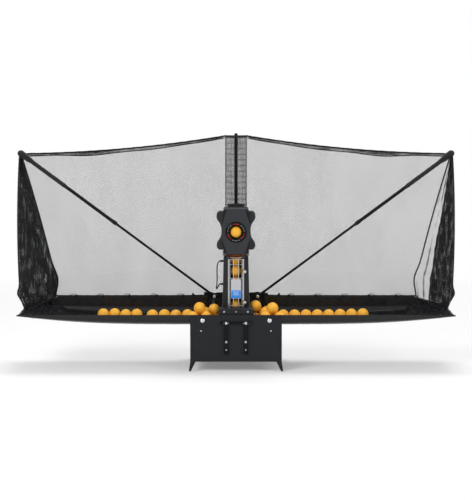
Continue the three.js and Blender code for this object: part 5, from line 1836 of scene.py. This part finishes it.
        length = (self.back_point(0, 1) - self.back_point(1, 1)).length
        return self.cloth(f"net_top_fold_{side.word}", doubled, (120, 4), (length, 18), Look.NET_FOLD, side)

    def heap(self, side: Side) -> None:
        """The loose net that lies bunched over the tray's tip.

        Args:
            side: the side of the robot that it is on.
        """
        tray = Tray(self.shop)
        ridges = ((0.085, 0.05, 0.4, 1.0), (-0.05, 0.11, 1.9, 0.8), (0.16, -0.09, 0.7, 0.55),
                  (0.09, 0.21, 2.6, 0.4))

        def bunched(u: float, v: float) -> Vector:
            """A point of the heap, highest near the line where the panels stand on it.

            Args:
                u: from the robot outwards, 0 to 1.
                v: from the table to the net, 0 to 1.

            Returns:
                The point in millimetres.
            """
            x = mix(self.heap_x[0] + 10 * sin(9 * v), self.heap_x[1] + 3 * sin(14 * v + 1), u)
            y = mix(self.heap_y[0] + 5 * sin(8 * u), self.heap_y[1], v)
            floor = tray.under(x, y) + tray.wall + 1.2
            near = bell(y, 116 - 156 * max(0.0, min(1.0, (x - 620) / 115)), 34)
            edge = min(1.0, 8 * u, 9 * (1 - u), 9 * v + 0.1)
            bend_x, bend_y = x + 9 * sin(0.06 * y + 1), y + 11 * sin(0.05 * x)
            folds = sum(size * (1 - 2 * abs(sin(p * bend_x + q * bend_y + turn)) ** 0.7)
                        for p, q, turn, size in ridges)
            rise = (8 + 16 * near + (3.6 + 2.4 * near) * folds) * edge
            return Vector((x, y, max(floor + 0.6 * folds * edge, min(floor + rise, self.heap_top))))

        size = (165, 265)
        sheet = self.cloth(f"net_heap_{side.word}", bunched, (90, 130), size, Look.NET_HEAP, side)
        self.flatten(side, sheet, towards=27.0)

    def side_panel(self, side: Side) -> None:
        """A side panel, drawn together into folds from its top corner.

        Args:
            side: the side of the robot that it is on.
        """
        def gathered(u: float, v: float) -> Vector:
            """A point of the panel in its folds.

            Args:
                u: from the rear edge forwards, 0 to 1.
                v: upwards, 0 to 1.

            Returns:
                The point in millimetres.
            """
            point = self.side_point(u, v)
            folds = sin(u * 2 * pi * 6 + 1.4 * sin(5 * v)) + 0.4 * sin(u * 31 + 9 * v)
            folds += 0.5 * sin(u * 53 - 31 * v) * sin(47 * v + 8 * u)
            room = sin(pi * u) ** 0.5 if 0 < u < 1 else 0.0
            point.x = min(point.x + folds * 6.75 * (1 - 0.72 * v) * room, 752.4)
            point.z -= 4 * (1 - v) ** 6 * (1 + sin(u * 40)) * room
            return point

        word = side.word
        height = self.front_top[2] - self.front_foot[2]
        wide = 1.15 * (self.side_point(0, 0.35) - self.side_point(1, 0.35)).length
        rows = 80
        sheet = self.cloth(f"net_side_mesh_{word}", gathered, (72, rows), (wide, height), Look.NET_DENSE,
                           side, f"net_side_{word}")
        if side is Side.RIGHT:
            sheet.data.materials.append(self.shop.material(Look.NET))
            for face in sheet.data.polygons:
                face.material_index = int(face.index < self.open_columns * rows)
        front = [self.side_point(1, k / 110) for k in range(111)]
        foot = [self.side_point(k / 60, 0)
                + Vector((2 * sin(k * 0.9), 2.5 * sin(k * 0.6), 2.2 * sin(k * 0.75))) for k in range(61)]
        top = [self.side_point(k / 12, 1) for k in range(13)]
        hems = [self.hem(f"net_{name}_hem_{word}", path, 5, side)
                for name, path in (("front", front), ("side_foot", foot), ("side_top", top))]
        self.flatten(side, sheet, *hems)

    def sleeve(self) -> None:
        """The gathered sleeve in front of the post, with a hem above and below and a seam at each side."""
        def pleat(u: float, v: float) -> Vector:
            """A point of the sleeve in its pleats.

            Args:
                u: from left to right, 0 to 1.
                v: upwards, 0 to 1.

            Returns:
                The point in millimetres.
            """
            across = 2 * u - 1
            fold = 2.7 * sin(u * 2 * pi * 9 + 1.2 * sin(7 * v)) + 0.5 * sin(u * 90 + 15 * v)
            height = mix(self.sleeve_foot, self.top_inner, v)
            front = self.sleeve_front + self.sleeve_curve * across ** 2
            return Vector((across * self.sleeve_half, front + fold, height))

        size = (105, self.top_inner - self.sleeve_foot)
        sheet = self.cloth("net_sleeve_mesh", pleat, (108, 44), size, Look.NET_PLEAT, Side.RIGHT,
                           "net_sleeve")
        bands = [self.hem(f"net_sleeve_{name}_hem", [pleat(k / 108, v) for k in range(109)], 8, Side.RIGHT)
                 for name, v in (("top", 0.992), ("foot", 0.008))]
        seam = [Vector((35.6 + 0.5 * sin(k * 1.7), 99.6, mix(self.sleeve_foot, self.top_inner, k / 60)))
                for k in range(61)]
        bands += [self.hem(f"net_sleeve_seam_{side.word}", seam, 3.2, side) for side in Side]


@dataclass
class SignalCable(Assembly):
    """The thin cable that hangs in a loop on the tower's left side."""

    leaves: Point = (-50.3, -38.0, 366.0)
    returns: Point = (-50.3, 44.0, 276.0)
    hang: Tuple[Point, ...] = (
        (-63, -30, 354), (-65, -18, 334), (-65, -4, 310), (-65.5, 9, 288), (-67, 20, 270), (-68, 29, 261),
        (-66, 37, 261.5), (-61, 42.5, 269))
    radius: float = 2.0

    def route(self) -> List[Vector]:
        """The cable's middle line.

        Returns:
            Points close together, in millimetres.
        """
        out = Vector((6, 0, 0))
        first, last = Vector(self.leaves), Vector(self.returns)
        marks = [first, first - out, *[Vector(p) for p in self.hang], last - out, last]
        ends = [first + out, *marks, last + out]
        points: List[Vector] = []
        for a, b, c, d in zip(ends, ends[1:], ends[2:], ends[3:]):
            points += self.span(a, b, c, d)
        return [*points, last]

    @staticmethod
    def span(a: Vector, b: Vector, c: Vector, d: Vector, steps: int = 3) -> List[Vector]:
        """Points on a centripetal curve.

        Args:
            a: the mark before.
            b: where the span begins.
            c: where it ends.
            d: the mark after.
            steps: how many points.

        Returns:
            Points from b, without c.
        """
        t1 = (b - a).length ** 0.5
        t2 = t1 + (c - b).length ** 0.5
        t3 = t2 + (d - c).length ** 0.5
        made = []
        for t in (mix(t1, t2, step / steps) for step in range(steps)):
            first, second = a.lerp(b, t / t1), b.lerp(c, (t - t1) / (t2 - t1))
            third = c.lerp(d, (t - t2) / (t3 - t2))
            left, right = first.lerp(second, t / t2), second.lerp(third, (t - t1) / (t3 - t1))
            made.append(left.lerp(right, (t - t1) / (t2 - t1)))
        return made

    def build(self) -> None:
        """Builds the cable as a curve, with a tapered relief at each end."""
        points = [in_frame(p) for p in self.route()]
        curve = bpy.data.curves.new("signal_cable_line", "CURVE")
        curve.dimensions = "3D"
        curve.bevel_depth = self.radius * MM
        curve.bevel_resolution = 6
        curve.use_fill_caps = True
        spline = curve.splines.new("POLY")
        spline.points.add(len(points) - 1)
        for knot, point in zip(spline.points, points):
            knot.co = (*point, 1)
        curve.materials.append(self.shop.material(Look.CABLE))
        cable = self.shop.show("signal_cable_round", curve)
        self.shop.mount(cable, "base", Look.CABLE.slot, "signal_cable")
        profile = [(2.05, 0.1), (3.6, 0.1), (3.6, -0.8), (3.1, -1.1), (3.1, -1.7), (3.4, -2.0), (3.3, -2.6),
                   (2.8, -2.9), (2.8, -3.5), (3.0, -3.8), (2.6, -5.0), (2.05, -5.4)]
        reliefs = [self.shop.piece(f"cable_relief_{word}", lathe(profile, end, Axis.X, 24), Look.CABLE)
                   for word, end in (("upper", self.leaves), ("lower", self.returns))]


@dataclass
class LooseBalls(Assembly):
    """Balls that lie in the trays and wait in the hopper: (x, y, z) of each middle, as on the right side."""

    row_start: float = 163.0
    row_step: float = 39.2
    row_count: int = 8
    stations: Tuple[float, ...] = (0, 0.16, 0.34, 0.52, 0.66)
    left_row: Tuple[Pair, ...] = (
        (457, -6), (419, 7), (380, -6), (343, 8), (288, -6), (247, 3), (207, -5), (167, 4))
    left_tray: Tuple[Point, ...] = ((100.6, -84, 179.2), (147, -84, 179.2), (123.8, -49.6, 174.1),
                                    (123.8, -70.1, 208.8))
    right_tray: Tuple[Point, ...] = ((100.2, -84, 179.2), (150, -84, 179.2), (126, -51.2, 174.2),
                                     (124.4, -71.4, 208.3))
    left_hopper: Tuple[Point, ...] = ((68, -38, 161.2), (68, 2.3, 161.2), (106.5, 9, 173.2), (75, -19, 195.8),
                                      (106, 50, 174.1))
    right_hopper: Tuple[Point, ...] = ((68, -38, 161.2), (68, 2.3, 161.2), (108, 24, 173.2), (98, -14, 182.1),
                                       (67, -18, 207.2), (106, 64, 175.3))

    def build(self) -> None:
        """Lays the touching row, the loose row and the piles."""
        tray = Tray(self.shop)
        places = [mix(tray.inner_end, tray.tip, share) for share in self.stations]
        floors = [tray.bottom_at(place) + tray.wall for place in places]
        row = Shell()
        for number in range(self.row_count):
            x = self.row_start + number * self.row_step
            floor = max(float(np.interp(at, places, floors)) for at in (x, x + BALL_RADIUS / 2))
            row.join(ball((x, 0, floor + GAP + BALL_RADIUS), 33 * number, BALL_RADIUS - GAP))
        self.shop.piece("caught_balls_right", row, *BALLS, body="tray_right", stands_for="tray_balls_right")
        rest = tray.wall + 0.2 + BALL_RADIUS
        for number, (x, y) in enumerate(self.left_row, 1):
            self.lay(f"caught_ball_left_{number}", (-x, y, tray.bottom_at(x) + rest), "tray_left")
        for side, in_tray, in_hopper in ((Side.LEFT, self.left_tray, self.left_hopper),
                                         (Side.RIGHT, self.right_tray, self.right_hopper)):
            word = side.word
            for place, body, spots in (("tray", f"tray_{word}", in_tray), ("hopper", "base", in_hopper)):
                for number, (x, y, z) in enumerate(spots, 1):
                    self.lay(f"{place}_ball_{word}_{number}", (side.value * x, y, z), body)

    def lay(self, name: str, centre: Point, body: str) -> None:
        """Lays one ball, with its seam turned by its number."""
        self.shop.piece(name, ball(centre, 31 * self.shop.count), *BALLS, body=body)


# The studio and the whole scene


@dataclass
class Studio:
    """Camera, lamps, white surroundings and a pale floor."""

    distance: float = 5.6
    elevation: float = 6.5
    target: Point = (0.0, 0.0, 0.40)
    lens: float = 117.5
    shade: float = 0.42
    lamps: Tuple[Tuple[str, Point, Pair, float], ...] = (
        ("key_lamp", (-2.2, -2.6, 2.6), (1.8, 1.4), 68), ("fill_lamp", (2.8, -2.2, 1.5), (1.6, 2.0), 34),
        ("top_lamp", (0.3, 0.9, 3.0), (2.4, 1.2), 46))

    def aim(self, name: str, data: Any, place: Vector) -> Piece:
        """Puts a camera or lamp at a place, looking at the robot's middle.

        Args:
            name: of the object.
            data: the camera or lamp.
            place: where it stands, in metres.

        Returns:
            The object.
        """
        made = Workshop.show(name, data)
        made.location = place
        made.rotation_euler = (Vector(self.target) - made.location).to_track_quat("-Z", "Y").to_euler()
        return made

    def camera(self) -> None:
        """Sets the camera before the robot, as seen in the photograph."""
        data = bpy.data.cameras.new("camera")
        data.lens = self.lens
        rise = radians(self.elevation)
        place = Vector(self.target) + Vector((0, -cos(rise), sin(rise))) * self.distance
        bpy.context.scene.camera = self.aim("camera", data, place)

    def world(self) -> None:
        """White to the eye and in reflections, and a plain level of light on the robot."""
        world = bpy.data.worlds.new("surroundings")
        world.use_nodes = True
        bpy.context.scene.world = world
        nodes = Nodes(world.node_tree)
        level = nodes.spread(nodes.seen("Camera", "Transmission"), self.shade, 1.0, 0.0, 1.0)
        gloss = nodes.node("Math", {0: nodes.seen("Glossy"), 1: 0.4, 2: level}, operation="MULTIPLY_ADD")
        nodes.fill(nodes.tree.nodes["Background"], {"Strength": gloss, "Color": (1, 1, 1, 1)})

    def floor(self) -> None:
        """A pale floor that keeps the shadow near the robot and fades to white far off."""
        mesh = bpy.data.meshes.new("studio_floor")
        reach, depth = 40, -0.0005
        corners = ((-reach, -reach), (reach, -reach), (reach, reach), (-reach, reach))
        mesh.from_pydata([(x, y, depth) for x, y in corners], [], [(0, 1, 2, 3)])
        shader = Shader("Studio_floor")
        grey = shader.mixed(shader.noise(400, 3), srgb("E6E6E6"), srgb("E9E9E9"))
        shader.put({"Roughness": 0.85, "Base Color": grey})
        seen = shader.seen("Camera", "Glossy", "Transmission")
        glow = shader.node("Emission", {"Strength": shader.math("MULTIPLY", seen, 0.2)})
        near = shader.node("AddShader", {0: shader.surface.outputs[0], 1: glow})
        white = shader.node("Emission", {"Strength": shader.math("MAXIMUM", seen, self.shade)})
        away = shader.node("VectorMath", {0: shader.coordinates}, "Value", operation="LENGTH")
        blend = shader.node("MixShader", {0: shader.spread(away, 0, 1, 1.1, 2.6), 1: near, 2: white})
        shader.fill(shader.tree.nodes["Material Output"], {"Surface": blend})
        mesh.materials.append(shader.material)
        Workshop.show("studio_floor", mesh)

    def build(self) -> None:
        """Builds the surroundings and the lamps."""
        bpy.context.scene.view_settings.view_transform = "Standard"
        self.world()
        self.floor()
        for name, place, size, watts in self.lamps:
            data = bpy.data.lights.new(name, "AREA")
            data.shape = "RECTANGLE"
            data.size, data.size_y = size
            data.energy = watts
            self.aim(name, data, Vector(place))


def main() -> None:
    """Builds the robot and its studio, and logs how many pieces were made."""
    logging.basicConfig(level=logging.INFO, format="%(message)s")
    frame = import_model()
    shop = Workshop(frame)
    studio = Studio()
    studio.camera()
    assemblies: List[Assembly] = [
        SignalCable(shop), Base(shop), Tray(shop, Side.LEFT), Tray(shop, Side.RIGHT), TableHooks(shop),
        Tower(shop), Cage(shop), Yoke(shop), Head(shop), NetRod(shop, Side.LEFT), NetRod(shop, Side.RIGHT),
        CatchNet(shop), LooseBalls(shop)]
    for assembly in assemblies:
        LOG.info("building %s", type(assembly).__name__)
        assembly.build()
    studio.build()
    bpy.context.view_layer.update()
    LOG.info("%d pieces made", shop.count)


if __name__ == "__main__":
    main()
